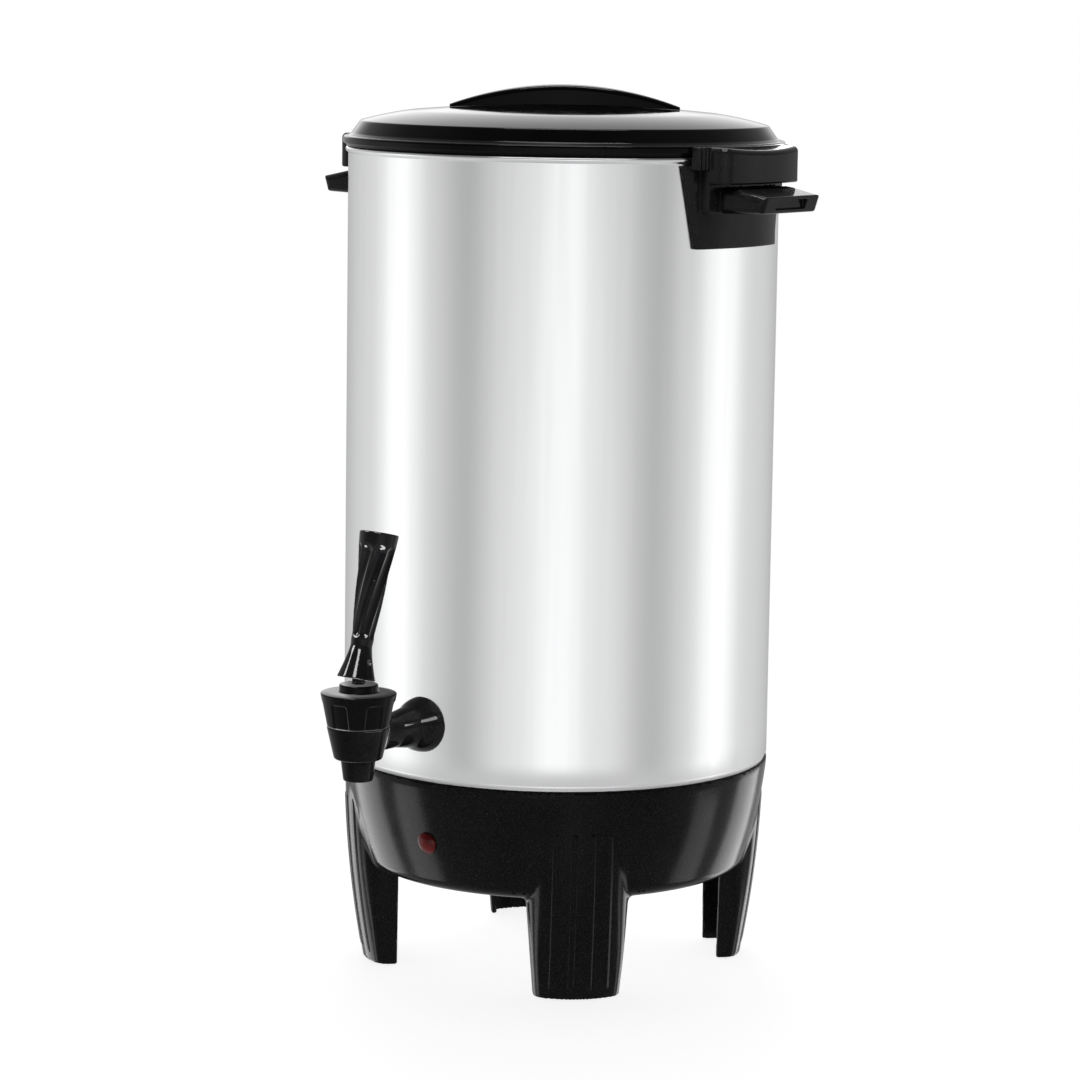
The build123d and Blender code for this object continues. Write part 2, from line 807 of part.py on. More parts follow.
def brew_element():
    """The brewing element: a tube bent to an open ring, with two terminal pins."""
    height = element_height()
    ring = Torus(element_radius, element_tube_radius)
    half_gap = element_pin_offset - element_pin_radius / 2
    gap = Pos(0, element_radius, 0) * Box(2 * half_gap, element_radius, element_radius)
    ring = Pos(0, 0, height) * (ring - gap)
    x, y, bottom = element_terminal()
    for side in (-1, 1):
        ring += Pos(side * x, y, 0) * disc(element_pin_radius, bottom, height)
    return ring


def element_height():
    return tank_floor - element_plate_thickness - element_tube_radius


def element_terminal():
    """One terminal pin of the brewing element: its place and its lower end."""
    y = sqrt(element_radius**2 - element_pin_offset**2)
    return element_pin_offset, y, element_height() - element_pin_length


def keep_warm_element():
    """The low-power band that grips the side of the heating well."""
    inner = well_radius + tank_wall
    bottom = well_floor + warmer_lift
    band = tube(inner + warmer_thickness, inner, bottom, bottom + warmer_height)
    return band - Pos(0, -inner, bottom) * Box(warmer_gap, inner, 3 * warmer_height)


def thermostat():
    """The disc thermostat on the tank's bottom, with two blade terminals."""
    bottom = tank_floor - thermostat_tall
    body = disc(thermostat_radius, bottom, tank_floor)
    for side in (-1, 1):
        body += Pos(0, side * blade_offset, bottom - blade_length / 2) * Box(
            blade_thickness, blade_width, blade_length
        )
    return Pos(thermostat_place, 0, 0) * body


def thermal_fuse():
    """The one-shot thermal fuse beside the thermostat."""
    height = tank_floor - fuse_radius
    body = rod_y(fuse_radius, -fuse_length / 2, fuse_length / 2, -thermostat_place, height)
    for side in (-1, 1):
        y0 = side * fuse_length / 2
        body += rod_y(fuse_tail_radius, y0, y0 + side * fuse_tail, -thermostat_place, height)
    return body


def holding_clips():
    """Spring clips that hold the thermostat and the fuse to the tank's bottom."""
    return [
        holding_clip(thermostat_place, thermostat_tall, clip_length),
        holding_clip(-thermostat_place, 2 * fuse_radius, fuse_clip_length),
    ]


def holding_clip(x, depth, length):
    """A strip that passes under a piece and stands on the tank's bottom at both ends."""
    bottom = tank_floor - depth - clip_thickness
    plate = Pos(x, 0, bottom + clip_thickness / 2) * Box(length, clip_width, clip_thickness)
    for side in (-1, 1):
        foot = x + side * (length - clip_thickness) / 2
        plate += Pos(foot, 0, (bottom + tank_floor) / 2) * Box(
            clip_thickness, clip_width, tank_floor - bottom
        )
    return plate


def internal_leads():
    """Insulated leads between the inlet, the fuse, the thermostat and the element."""
    back = inlet_pin_back()
    (left, low), (middle, high) = inlet_pins[0], inlet_pins[1]
    low += inlet_height
    high += inlet_height
    turn = back - lead_start
    blade_side = thermostat_place - blade_thickness / 2 - lead_gap
    blade_height = tank_floor - thermostat_tall - blade_length / 2
    run = thermostat_place - lead_side
    terminal_x, terminal_y, terminal_bottom = element_terminal()
    terminal_height = terminal_bottom + lead_radius
    terminal_side = terminal_x + element_pin_radius + lead_gap
    fuse_end = fuse_length / 2 + fuse_tail + lead_gap
    fuse_height = tank_floor - fuse_radius
    sagged = fuse_height - lead_sag
    fuse_x = -thermostat_place
    strap_side = strap_width / 2 + lead_gap
    strap_height = well_floor - strap_thickness - lead_radius
    routes = (
        [  # inlet to thermostat
            (-left, back, low),
            (-left, turn, low),
            (run, terminal_y, blade_height),
            (run, blade_offset, blade_height),
            (blade_side, blade_offset, blade_height),
        ],
        [  # thermostat to element
            (blade_side, -blade_offset, blade_height),
            (run, -blade_offset, blade_height),
            (run - lead_start, terminal_y, terminal_height),
            (terminal_side, terminal_y, terminal_height),
        ],
        [  # inlet to fuse
            (left, back, low),
            (left, turn, low),
            (-run, fuse_end + lead_start, sagged),
            (fuse_x, fuse_end + lead_start, fuse_height),
            (fuse_x, fuse_end, fuse_height),
        ],
        [  # fuse to element
            (fuse_x, -fuse_end, fuse_height),
            (fuse_x, -fuse_end - lead_start, fuse_height),
            (-run, -fuse_end - lead_start, sagged),
            (-run, 0, terminal_height),
            (lead_start - run, terminal_y, terminal_height),
            (-terminal_side, terminal_y, terminal_height),
        ],
        [  # inlet earth pin to the strap
            (middle, back, high),
            (middle, turn, high),
            (middle, strap_side + lead_start, strap_height),
            (middle, strap_side, strap_height),
        ],
    )
    leads = []
    for route in routes:
        path = FilletPolyline(*route, radius=lead_bend)
        start = Plane(origin=path @ 0, z_dir=path % 0)
        leads.append(sweep(start * Circle(lead_radius), path))
    return leads


# ---------------------------------------------------------------- tap
def tap_body():
    """Flange, pipe, shank, valve body and spout in one moulding."""
    valve = [
        (0, spout_bottom),
        (spout_bottom_radius, spout_bottom),
        (spout_top_radius, valve_foot_height - valve_foot_step),
        (valve_foot_radius - valve_foot_chamfer, valve_foot_height - valve_foot_step),
        (valve_foot_radius, valve_foot_height + valve_foot_chamfer),
        (seam_radius, seam_height),
        (valve_neck_radius, seam_height),
        (valve_neck_radius, seam_height + valve_neck_height),
        (0, seam_height + valve_neck_height),
    ]
    body = tap_axis * revolved(valve)
    overlap = tap_flange_thickness / 2
    pipe = rod_y(tap_pipe_radius, -tap_reach, -tap_face - overlap, 0, tap_height)
    flange = [
        (0, 0),
        (tap_flange_radius, 0),
        (tap_flange_radius, tap_flange_thickness * 0.5),
        (tap_flange_radius - tap_flange_edge, tap_flange_thickness),
    ]
    flare_end = (tap_pipe_radius, tap_flare_length)
    flare_mid = (tap_pipe_radius + 0.9, 0.55 * tap_flare_length)
    edges = [
        Polyline(*flange),
        ThreePointArc(flange[-1], flare_mid, flare_end),
        Line(flare_end, (0, tap_flare_length)),
        Line((0, tap_flare_length), (0, 0)),
    ]
    trumpet = Pos(0, -tap_face, tap_height) * Rot(90, 0, 0) * revolved_edges(edges)
    shank_end = -tank_inner + shank_inner_length
    shank = rod_y(shank_radius, -tap_face - overlap, shank_end, 0, tap_height)
    body = body + pipe + trumpet + shank
    # the pipe's crown is relieved where the bonnet's skirt turns down over it
    relief_radius = bonnet_radius + bonnet_relief
    body -= tap_axis * tube(relief_radius, valve_neck_radius, seam_height, bonnet_top)
    body -= tap_axis * disc(valve_cavity_radius, valve_seat_height, bonnet_top)
    body -= tap_axis * disc(spout_bore_radius, spout_bottom, valve_seat_height)
    bore_end = -tap_reach + valve_cavity_radius / 2
    body -= rod_y(tap_bore_radius, bore_end, shank_end, 0, tap_height + tap_bore_rise)
    return body


def bonnet():
    """The fluted cap that closes the valve, with the raised collar under the lever."""
    bottom = seam_height + seam_gap
    neck_inner = valve_neck_radius + running_fit
    neck_top = seam_height + valve_neck_height
    ceiling = bonnet_top - bonnet_ceiling
    shell = [
        (neck_inner, bottom),
        (seam_radius, bottom),
        (bonnet_radius, bonnet_top),
        (bonnet_radius - bonnet_edge, bonnet_top + bonnet_edge),
        (collar_radius, bonnet_top + bonnet_crown),
        (collar_radius, collar_top - collar_edge),
        (collar_radius - collar_edge, collar_top),
        (stem_radius + stem_fit, collar_top),
        (stem_radius + stem_fit, ceiling),
        (cup_radius + cup_side_gap, ceiling),
        (cup_radius + cup_side_gap, neck_top),
        (neck_inner, neck_top),
    ]
    cap = revolved(shell)
    lean = degrees(atan2(bonnet_radius - seam_radius, bonnet_height))
    flute_length = bonnet_height * 0.8
    flute = Rot(0, lean, 0) * Cylinder(bonnet_flute_radius, flute_length)
    middle = bottom + bonnet_height * 0.36
    wall = seam_radius + (bonnet_radius - seam_radius) * (middle - bottom) / bonnet_height
    flute = Pos(wall + bonnet_flute_radius - bonnet_flute_depth, 0, middle) * flute
    for i in range(bonnet_flutes):
        cap -= turned(flute, bonnet_flute_turn + i * 360 / bonnet_flutes)
    return tap_axis * cap


def tap_stem():
    """The valve stem: a rod that flattens to an eye round the lever's pin."""
    rod = disc(stem_radius, stem_foot, stem_shoulder)
    eye_bottom = collar_top + running_fit
    eye_top = pin_height + stem_eye_above_pin
    eye = Pos(0, 0, (eye_bottom + eye_top) / 2) * Box(stem_flat, stem_flat, eye_top - eye_bottom)
    eye = fillet(eye.edges().filter_by(Axis.X).group_by(Axis.Z)[-1], 0.48 * stem_flat)
    stem = rod + eye
    stem -= rod_x(pin_radius + running_fit, -stem_flat, stem_flat, 0, pin_height)
    return tap_axis * stem


def seat_cup():
    """The silicone cup on the stem's foot that shuts the spout."""
    outline = [
        (0, cup_bottom),
        (cup_radius - cup_chamfer, cup_bottom),
        (cup_radius, cup_bottom + cup_chamfer),
        (cup_radius - cup_chamfer / 2, cup_top),
        (stem_radius + running_fit, cup_top),
        (stem_radius + running_fit, stem_foot),
        (0, stem_foot),
    ]
    return tap_axis * revolved(outline)


def lever_upright():
    """The lever about its pin at the origin, before it is leaned back."""
    bottom = -lever_skirt_drop
    edge = lever_edge
    outline = [
        (0, bottom),
        (lever_skirt_radius - edge, bottom),
        (lever_skirt_radius, bottom + edge),
        (lever_waist_radius + edge, lever_waist_rise - 2 * edge),
        (lever_waist_radius, lever_waist_rise),
        (lever_waist_radius + edge / 3, lever_waist_rise + 3 * edge),
        (lever_top_radius, lever_top_rise - edge),
        (lever_top_radius - edge, lever_top_rise),
        (0, lever_top_rise),
    ]
    handle = revolved(outline)
    flute = lever_flute()
    for i in range(lever_flutes):
        handle -= turned(flute, i * 360 / lever_flutes)
    handle -= lever_slot()
    handle -= rod_x(pin_radius, -2 * lever_skirt_radius, 2 * lever_skirt_radius, 0, 0)
    return handle


def lever_flute():
    """One hollow that winds up the lever's side, with rounded ends."""
    rise = lever_top_rise - lever_waist_rise
    start = lever_waist_rise + lever_flute_start * rise
    length = lever_flute_share * rise
    slope = (lever_top_radius - lever_waist_radius) / rise
    radius = lever_waist_radius + slope * (start - lever_waist_rise) + lever_flute_radius * 0.45
    path = Pos(0, 0, start) * Helix(
        pitch=length * 360 / lever_flute_twist,
        height=length,
        radius=radius,
        cone_angle=degrees(atan(slope)),
    )
    flute = sweep(Plane(origin=path @ 0, z_dir=path % 0) * Circle(lever_flute_radius), path)
    for end in (path @ 0, path @ 1):
        flute += Pos(*end) * Sphere(lever_flute_radius)
    return flute


def lever_slot():
    """The room inside the skirt that the stem's eye swings in."""
    half = stem_flat / 2 + lever_slot_gap
    reach = hypot(stem_flat / 2, stem_eye_above_pin) + lever_slot_gap
    below = lever_skirt_drop + lever_slot_gap
    forward = lever_travel - lever_lean
    mouth_user = half + below * sin(radians(forward)) + lever_mouth_gap
    mouth_tank = half + below * sin(radians(lever_lean)) + lever_mouth_gap
    side = Polyline(
        (-mouth_user, -below),
        (mouth_tank, -below),
        (reach, 0),
        (reach, reach),
        (-reach, reach),
        (-reach, 0),
        close=True,
    )
    return extrude(make_face(Plane.YZ * side), half, both=True)


def lever_place():
    """Where the lever's pin lies, and how the lever leans back towards the tank."""
    return Pos(0, -tap_reach, pin_height) * Rot(-lever_lean, 0, 0)


def lever_pin():
    half = lever_skirt_radius * 0.62
    return tap_axis * rod_x(pin_radius, -half, half, 0, pin_height)


def wall_washer(outside):
    """A soft washer on the tap's shank, flat on one side and curved to the tank."""
    radius = tap_washer_radius
    near, far = -tank_radius + radius, -tank_radius - radius
    blank = rod_y(radius, far, near, 0, tap_height)
    blank -= rod_y(shank_radius + tap_washer_fit, far, near, 0, tap_height)
    low, high = tap_height - 2 * radius, tap_height + 2 * radius
    if outside:
        return (blank - disc(tank_radius, low, high)) & nearer_than(tap_face)
    ring = blank & disc(tank_inner, low, high)
    return ring - nearer_than(tap_washer_inner_face())


def tap_washer_inner_face():
    """How far from the tank's axis the inner washer's flat side lies."""
    return sqrt(tank_inner**2 - tap_washer_radius**2) - tap_washer_thickness


def nearer_than(distance):
    """Everything on the tank's side of a plane that lies this far out towards the tap."""
    size = 4 * tank_radius
    return Pos(0, size / 2 - distance, tap_height) * Box(size, size, size)


def tap_nut():
    """The plastic hexagon nut that holds the tap from inside the tank."""
    face = tap_washer_inner_face()
    nut = hex_prism(tap_nut_across_flats, 0, tap_nut_thickness, shank_radius + running_fit)
    return Pos(0, -face + tap_nut_thickness, tap_height) * Rot(90, 0, 0) * nut


# ---------------------------------------------------------------- handles
def handle():
    """One side handle on the +X side: backing flange, plate, hollow box and grip."""
    inner = handle_inner
    trapezoid = Polyline(
        (-handle_flange_half_low, handle_bottom),
        (handle_flange_half_low, handle_bottom),
        (handle_flange_half_high, handle_flange_top),
        (-handle_flange_half_high, handle_flange_top),
        close=True,
    )
    body = tube(inner + handle_flange_thickness, inner, handle_bottom, handle_flange_top)
    body &= extrude(make_face(Plane.YZ * trapezoid), 2 * tank_radius)
    half = handle_flange_half_low - handle_plate_inset
    outer = inner + handle_plate_thickness
    body += curved_block(inner, outer, -half, half, handle_bottom, handle_ledge)
    half = handle_half_width
    outer = inner + handle_back_thickness
    body += curved_block(inner, outer, -half, half, handle_ledge, handle_top)
    body += curved_block(inner, handle_box_radius, -half, half, handle_box_bottom, handle_top)
    inside = half - handle_box_wall
    ceiling = handle_top - handle_box_wall
    hollow_outer = handle_box_radius - handle_box_wall
    body -= curved_block(outer, hollow_outer, -inside, inside, handle_box_bottom, ceiling)
    body += handle_tongue()
    for side in (-1, 1):
        body += handle_lug(side)
    # the upper part stands clear of the rolled rim and of the lid's flange
    body -= disc(handle_lug_inner_radius, handle_flange_top, handle_top)
    reach = inner + handle_screw_grip + handle_screw_tip_room
    for angle in handle_screw_angles:
        hole = rod_x(handle_screw_radius, tank_inner, reach, 0, handle_screw_height)
        body -= turned(hole, angle)
    return body


def handle_tongue():
    """The grip: a lip below the box, sloping up to it, with a shallow recess."""
    root = handle_inner + handle_flange_thickness
    root_top = handle_box_bottom - handle_slot
    side = Polyline(
        (root, handle_ledge),
        (handle_tongue_radius - handle_tongue_draft, handle_tongue_bottom),
        (handle_tongue_radius, handle_tongue_tip_top),
        (handle_box_radius - handle_tongue_slope, root_top),
        (root, root_top),
        close=True,
    )
    tongue = extrude(make_face(Plane.XZ * side), handle_tongue_half_width, both=True)
    corners = tongue.edges().filter_by(
        lambda e: e.center().X > handle_tongue_radius - handle_tongue_draft
        and abs(e.center().Y) > handle_tongue_half_width / 2
    )
    tongue = fillet(corners, handle_tongue_corner)
    recess = Pos(handle_tongue_radius, 0, handle_tongue_bottom + handle_tongue_tip / 2) * Box(
        handle_tongue_draft + 2 * handle_recess_depth,
        2 * handle_recess_half_width,
        handle_recess_height,
    )
    return tongue - recess


def handle_lug(side):
    """The small hook that stands beside the box, at the rim."""
    ends = side * handle_half_width, side * (handle_half_width + handle_lug_width)
    outer = handle_lug_inner_radius + handle_lug_thickness
    bottom = handle_flange_top - handle_lug_thickness / 2
    return curved_block(handle_inner, outer, min(ends), max(ends), bottom, handle_top)


def handle_screws():
    """Two pan-head screws from inside the tank, for the +X handle."""
    start = tank_inner - handle_washer_thickness - running_fit
    end = handle_inner + handle_screw_grip
    height = handle_screw_height
    shank_radius = handle_screw_radius - handle_screw_thread_fit
    shank = rod_x(shank_radius, start - handle_screw_head / 2, end, 0, height)
    head = rod_x(handle_screw_head_radius, start - handle_screw_head, start, 0, height)
    slot = Pos(start - handle_screw_head, 0, height) * Box(
        handle_screw_head, 3 * handle_screw_head_radius, handle_screw_slot
    )
    screw = shank + head - slot
    return [turned(screw, angle) for angle in handle_screw_angles]


def handle_washers():
    """The sealing washers under the screw heads."""
    start = tank_inner - handle_washer_thickness - running_fit
    height = handle_screw_height
    ring = rod_x(handle_washer_radius, start, tank_radius, 0, height)
    ring -= rod_x(handle_screw_radius, start, tank_radius, 0, height)
    inside = tank_inner - running_fit
    ring &= disc(inside, height - handle_washer_radius, height + handle_washer_radius)
    return [turned(ring, angle) for angle in handle_screw_angles]


# ---------------------------------------------------------------- lid
def dome_point(radius, lift):
    """A point of the lid's dome, a shallow sphere through its shoulder and crown."""
    drop = lid_crown_height - lid_shoulder[1]
    sphere = (lid_shoulder[0] ** 2 + drop**2) / (2 * drop)
    return (radius, lid_crown_height + lift - sphere + sqrt(sphere**2 - radius**2))


def lid_shell():
    """The domed lid: flange, stepped shoulder and a plug ring that centres it."""
    foot, ridge, mid, shoulder = lid_slope_foot, lid_ridge, lid_shoulder_mid, lid_shoulder
    crown = (0, lid_crown_height)
    t = lid_thickness
    seat = rim_top + seat_gap
    plug_inner = lid_plug_radius - lid_plug_wall
    plug_bottom = seat - lid_plug_depth
    dome_mid = dome_point(lid_shoulder[0] / 2, 0)
    ridge_inside = (ridge[0] - 0.8 * t, ridge[1] - 0.9 * t)
    chamfer = lid_plug_lead / 3
    low_mid = dome_point(lid_shoulder[0] / 2, -t)
    edges = [
        Polyline(
            (lid_flange_radius, lid_flange_bottom),
            (lid_flange_radius, lid_flange_top - lid_flange_edge),
            (lid_flange_radius - lid_flange_edge, lid_flange_top),
            foot,
            ridge,
        ),
        ThreePointArc(ridge, mid, shoulder),
        ThreePointArc(shoulder, dome_mid, crown),
        Line(crown, (0, crown[1] - t)),
        ThreePointArc((0, crown[1] - t), low_mid, (shoulder[0], shoulder[1] - t)),
        ThreePointArc(
            (shoulder[0], shoulder[1] - t),
            (mid[0] - t / 4, mid[1] - t),
            ridge_inside,
        ),
        Polyline(
            ridge_inside,
            (plug_inner, foot[1] - t),
            (plug_inner, plug_bottom),
            (lid_plug_radius - chamfer, plug_bottom),
            (lid_plug_radius, plug_bottom + lid_plug_lead),
            (lid_plug_radius, seat),
            (tank_radius + lid_seat_width, seat),
            (tank_radius + lid_flange_rise, lid_flange_bottom),
            (lid_flange_radius, lid_flange_bottom),
        ),
    ]
    lid = revolved_edges(edges)
    for x, y in knob_screw_places():
        lid -= Pos(x, y, lid_crown_height) * Cylinder(knob_screw_radius + knob_screw_fit, 4 * t)
    return lid


def knob_screw_places():
    angle = radians(knob_turn)
    return [
        (side * knob_screw_offset * cos(angle), side * knob_screw_offset * sin(angle))
        for side in (-1, 1)
    ]


def lid_knob():
    """The low arched grip across the lid's centre, thinning to its tips."""
    left, right = -knob_half_length, knob_half_length
    tip_height = knob_tip_height
    base = lid_shoulder[1] - knob_rise
    side = [
        ThreePointArc((left, tip_height), (knob_shift, knob_top_height), (right, tip_height)),
        Polyline((right, tip_height), (right, base), (left, base), (left, tip_height)),
    ]
    arch = extrude(outline_face(Plane.XZ, side), knob_half_length, both=True)
    tip, half = knob_tip_half_width, knob_half_width
    plan = [
        ThreePointArc((left, -tip), (0, -half), (right, -tip)),
        Line((right, -tip), (right, tip)),
        ThreePointArc((right, tip), (0, half), (left, tip)),
        Line((left, tip), (left, -tip)),
    ]
    lens = Pos(0, 0, base) * extrude(outline_face(Plane.XY, plan), 4 * knob_rise)
    knob = arch & lens
    crest = knob.edges().filter_by(
        lambda e: e.center().Z > lid_crown_height + knob_rise / 4
        and e.length > knob_half_length
    )
    knob = fillet(crest, knob_edge)
    seat = lid_crown_height + knob_seat
    shoulder = dome_point(lid_shoulder[0], knob_seat)
    low = base - lid_thickness
    edges = [
        Line((0, low), (0, seat)),
        ThreePointArc((0, seat), dome_point(lid_shoulder[0] / 2, knob_seat), shoulder),
        Line(shoulder, (lid_shoulder[0], low)),
        Line((lid_shoulder[0], low), (0, low)),
    ]
    knob -= revolved_edges(edges)
    knob = turned(knob, knob_turn)
    hole_top = lid_crown_height + knob_screw_grip + knob_screw_tip_room
    for x, y in knob_screw_places():
        knob -= Pos(x, y, 0) * disc(knob_screw_radius, base, hole_top)
    return knob


def knob_screws():
    """The two screws that hold the grip from under the lid."""
    screws = []
    under = dome_point(knob_screw_offset, -lid_thickness)[1] - knob_screw_head_gap
    length, width, depth = knob_screw_cross
    shank_radius = knob_screw_radius - knob_screw_thread_fit
    tip = lid_crown_height + knob_screw_grip
    cross = Box(length, width, 2 * depth) + Box(width, length, 2 * depth)
    for x, y in knob_screw_places():
        shank = disc(shank_radius, under - knob_screw_head / 2, tip)
        head = disc(knob_screw_head_radius, under - knob_screw_head, under)
        screw = shank + head - Pos(0, 0, under - knob_screw_head) * cross
        screws.append(Pos(x, y, 0) * screw)
    return screws


# ---------------------------------------------------------------- brewing parts
def pump_tube():
    """The percolator's riser with its bell foot and the shoulder for the basket."""
    floor = pump_foot
    tube_inner = pump_tube_radius - pump_tube_wall
    foot_top = floor + pump_foot_height
    shoulder_top = basket_bottom - basket_cover_gap
    shoulder_foot = basket_bottom - pump_shoulder_height
    bell = [
        (pump_foot_radius - pump_foot_wall, floor),
        (pump_foot_radius, floor),
        (pump_foot_radius - pump_bell_lip_inset, floor + pump_bell_lip_rise),
        (pump_tube_radius + pump_bell_neck, foot_top),
        (pump_tube_radius, foot_top + pump_shoulder_height),
        (pump_tube_radius, shoulder_foot - pump_shoulder_slope),
        (pump_shoulder_radius, shoulder_foot),
        (pump_shoulder_radius, shoulder_top),
        (pump_tube_radius, shoulder_top),
        (pump_tube_radius, pump_tube_top),
        (tube_inner, pump_tube_top),
        (tube_inner, foot_top),
        (pump_tube_radius + pump_bell_neck - pump_foot_wall, foot_top - pump_foot_wall),
        (pump_foot_radius - pump_bell_shoulder_inset, floor + pump_bell_shoulder_rise),
    ]
    return revolved(bell)


def pump_guide():
    """The perforated plate inside the bell that the pump's washer rests on."""
    radius = pump_foot_radius - pump_bell_shoulder_inset - pump_guide_gap
    bottom = pump_guide_top - pump_guide_thickness
    plate = disc(radius, bottom, pump_guide_top)
    plate -= disc(pump_guide_hole, bottom, pump_guide_top)
    port = Pos(pump_guide_port_ring, 0, 0) * disc(pump_guide_port_radius, bottom, pump_guide_top)
    for i in range(pump_guide_ports):
        plate -= turned(port, i * 360 / pump_guide_ports)
    return plate


def basket():
    """The coffee basket: a perforated cup with a hub that slides on the riser."""
    bottom, top = basket_bottom, basket_top
    wall = basket_wall
    chamfer = basket_foot_chamfer
    hub_inner = pump_tube_radius + basket_hub_gap
    outline = [
        (hub_inner, bottom),
        (basket_radius - chamfer, bottom),
        (basket_radius, bottom + chamfer),
        (basket_radius, top),
        (basket_radius - wall, top),
        (basket_radius - wall, bottom + chamfer + wall / 2),
        (basket_radius - chamfer - wall / 2, bottom + wall),
        (hub_inner + wall, bottom + wall),
        (hub_inner + wall, bottom + basket_hub_height),
        (hub_inner, bottom + basket_hub_height),
    ]
    cup = revolved(outline)
    bead = basket_bead_radius
    cup += Pos(0, 0, top - bead) * Torus(basket_radius, bead)
    return cup - basket_holes(bottom, 0)


def basket_holes(height, shift):
    """The rings of holes through the basket's bottom or its cover."""
    hole = Cylinder(basket_hole_radius, 4 * basket_wall)
    holes = []
    for ring, count in zip(basket_hole_rings, basket_holes_per_ring):
        for i in range(count):
            holes.append(turned(Pos(ring, 0, height) * hole, (i + shift) * 360 / count))
    return holes


def basket_cover():
    """The spreader plate that lies on the basket's rim, with a lip round the riser."""
    floor = basket_top + basket_cover_gap
    top = floor + basket_cover_thickness
    hole = pump_tube_radius + basket_hub_gap
    lip = hole + basket_cover_lip_offset
    plate = disc(basket_radius + basket_cover_overhang, floor, top)
    plate += tube(lip + basket_cover_thickness, lip, floor, floor + basket_cover_lip)
    plate -= disc(hole, floor, top)
    return plate - basket_holes(floor, 0.5)


def pump_washer():
    """The loose washer that lifts and drops with the bubbles."""
    floor = pump_guide_top
    return tube(pump_washer_radius, pump_washer_hole, floor, floor + pump_washer_thickness)


# ---------------------------------------------------------------- write every piece
os.makedirs("parts", exist_ok=True)

export(tank_shell(), "tank_shell")
export(base_housing(), "base_housing")
export(bottom_cover(), "bottom_cover")
export(indicator_lens(), "indicator_lens")
export(indicator_lamp(), "indicator_lamp")
export(lens_clip(), "lens_clip")
export(power_inlet(), "power_inlet")
export(centre_stud(), "centre_stud")
export(strap(), "element_strap")
group(stud_nuts(), "stud_nuts")
export(shield_spacer(), "shield_spacer")
export(heat_shield(), "heat_shield")
export(element_plate(), "element_plate")
export(brew_element(), "brew_element")
export(keep_warm_element(), "keep_warm_element")
export(thermostat(), "thermostat")
export(thermal_fuse(), "thermal_fuse")
group(holding_clips(), "holding_clips")
group(internal_leads(), "internal_leads")

export(tap_body(), "tap_body")
export(bonnet(), "tap_bonnet")
export(tap_stem(), "tap_stem")
export(seat_cup(), "tap_seat_cup")
export(lever_place() * lever_upright(), "tap_lever")
export(lever_pin(), "lever_pin")
export(wall_washer(outside=True), "tap_washer_outer")
export(wall_washer(outside=False), "tap_washer_inner")
export(tap_nut(), "tap_nut")

for angle, side in ((0, "right"), (180, "left")):
    export(turned(handle(), angle), "handle_" + side)
    group([turned(s, angle) for s in handle_screws()], "handle_screws_" + side)
    group([turned(s, angle) for s in handle_washers()], "handle_washers_" + side)

export(lid_shell(), "lid_shell")
export(lid_knob(), "lid_knob")
group(knob_screws(), "knob_screws")

export(pump_tube(), "pump_tube")
export(pump_guide(), "pump_guide")
export(pump_washer(), "pump_washer")
export(basket(), "basket")
export(basket_cover(), "basket_cover")
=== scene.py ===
import json
import math

import bpy
import numpy as np
from mathutils import Matrix, Vector

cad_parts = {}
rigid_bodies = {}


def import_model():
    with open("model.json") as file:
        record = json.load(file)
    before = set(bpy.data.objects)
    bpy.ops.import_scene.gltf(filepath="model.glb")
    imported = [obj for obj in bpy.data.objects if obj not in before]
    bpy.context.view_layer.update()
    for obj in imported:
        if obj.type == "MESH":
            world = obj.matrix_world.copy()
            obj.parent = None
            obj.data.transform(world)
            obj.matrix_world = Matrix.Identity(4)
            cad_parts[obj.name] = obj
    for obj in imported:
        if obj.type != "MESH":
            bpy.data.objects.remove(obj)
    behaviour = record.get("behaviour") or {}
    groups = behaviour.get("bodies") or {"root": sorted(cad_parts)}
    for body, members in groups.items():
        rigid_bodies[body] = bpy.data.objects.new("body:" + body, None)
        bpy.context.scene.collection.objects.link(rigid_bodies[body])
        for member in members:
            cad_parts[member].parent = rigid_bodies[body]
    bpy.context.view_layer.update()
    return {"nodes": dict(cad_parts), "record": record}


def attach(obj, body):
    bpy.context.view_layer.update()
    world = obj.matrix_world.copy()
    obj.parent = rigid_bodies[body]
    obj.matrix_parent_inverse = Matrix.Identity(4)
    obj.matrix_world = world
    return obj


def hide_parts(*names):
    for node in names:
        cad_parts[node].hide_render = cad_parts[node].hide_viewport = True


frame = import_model()
nodes = frame["nodes"]
mm = 0.001


def newMaterial(name):
    made = bpy.data.materials.new(name)
    made.use_nodes = True
    made.node_tree.nodes.clear()
    return made


def addObject(name, data):
    made = bpy.data.objects.new(name, data)
    bpy.context.scene.collection.objects.link(made)
    return made


def link(tree, fromNode, output, toNode, socket):
    tree.links.new(fromNode.outputs[output], toNode.inputs[socket])


# a socket is fed either by another socket or by a plain value
def feed(tree, value, socket):
    if isinstance(value, bpy.types.NodeSocket):
        tree.links.new(value, socket)
    else:
        socket.default_value = value


def mathsNode(tree, kind, *values):
    node = tree.nodes.new("ShaderNodeMath")
    node.operation = kind
    for socket, value in zip(node.inputs, values):
        feed(tree, value, socket)
    return node.outputs[0]


def colourMix(tree, share, first, second):
    mix = tree.nodes.new("ShaderNodeMix")
    mix.data_type = "RGBA"
    for index, value in ((0, share), (6, first), (7, second)):  # the colour sockets of the node
        feed(tree, value, mix.inputs[index])
    return mix.outputs[2]


def rangeNode(tree, value, fromEnds, toEnds=(0, 1)):
    node = tree.nodes.new("ShaderNodeMapRange")
    for socket, end in zip(("From Min", "From Max", "To Min", "To Max"), (*fromEnds, *toEnds)):
        node.inputs[socket].default_value = end
    tree.links.new(value, node.inputs["Value"])
    return node


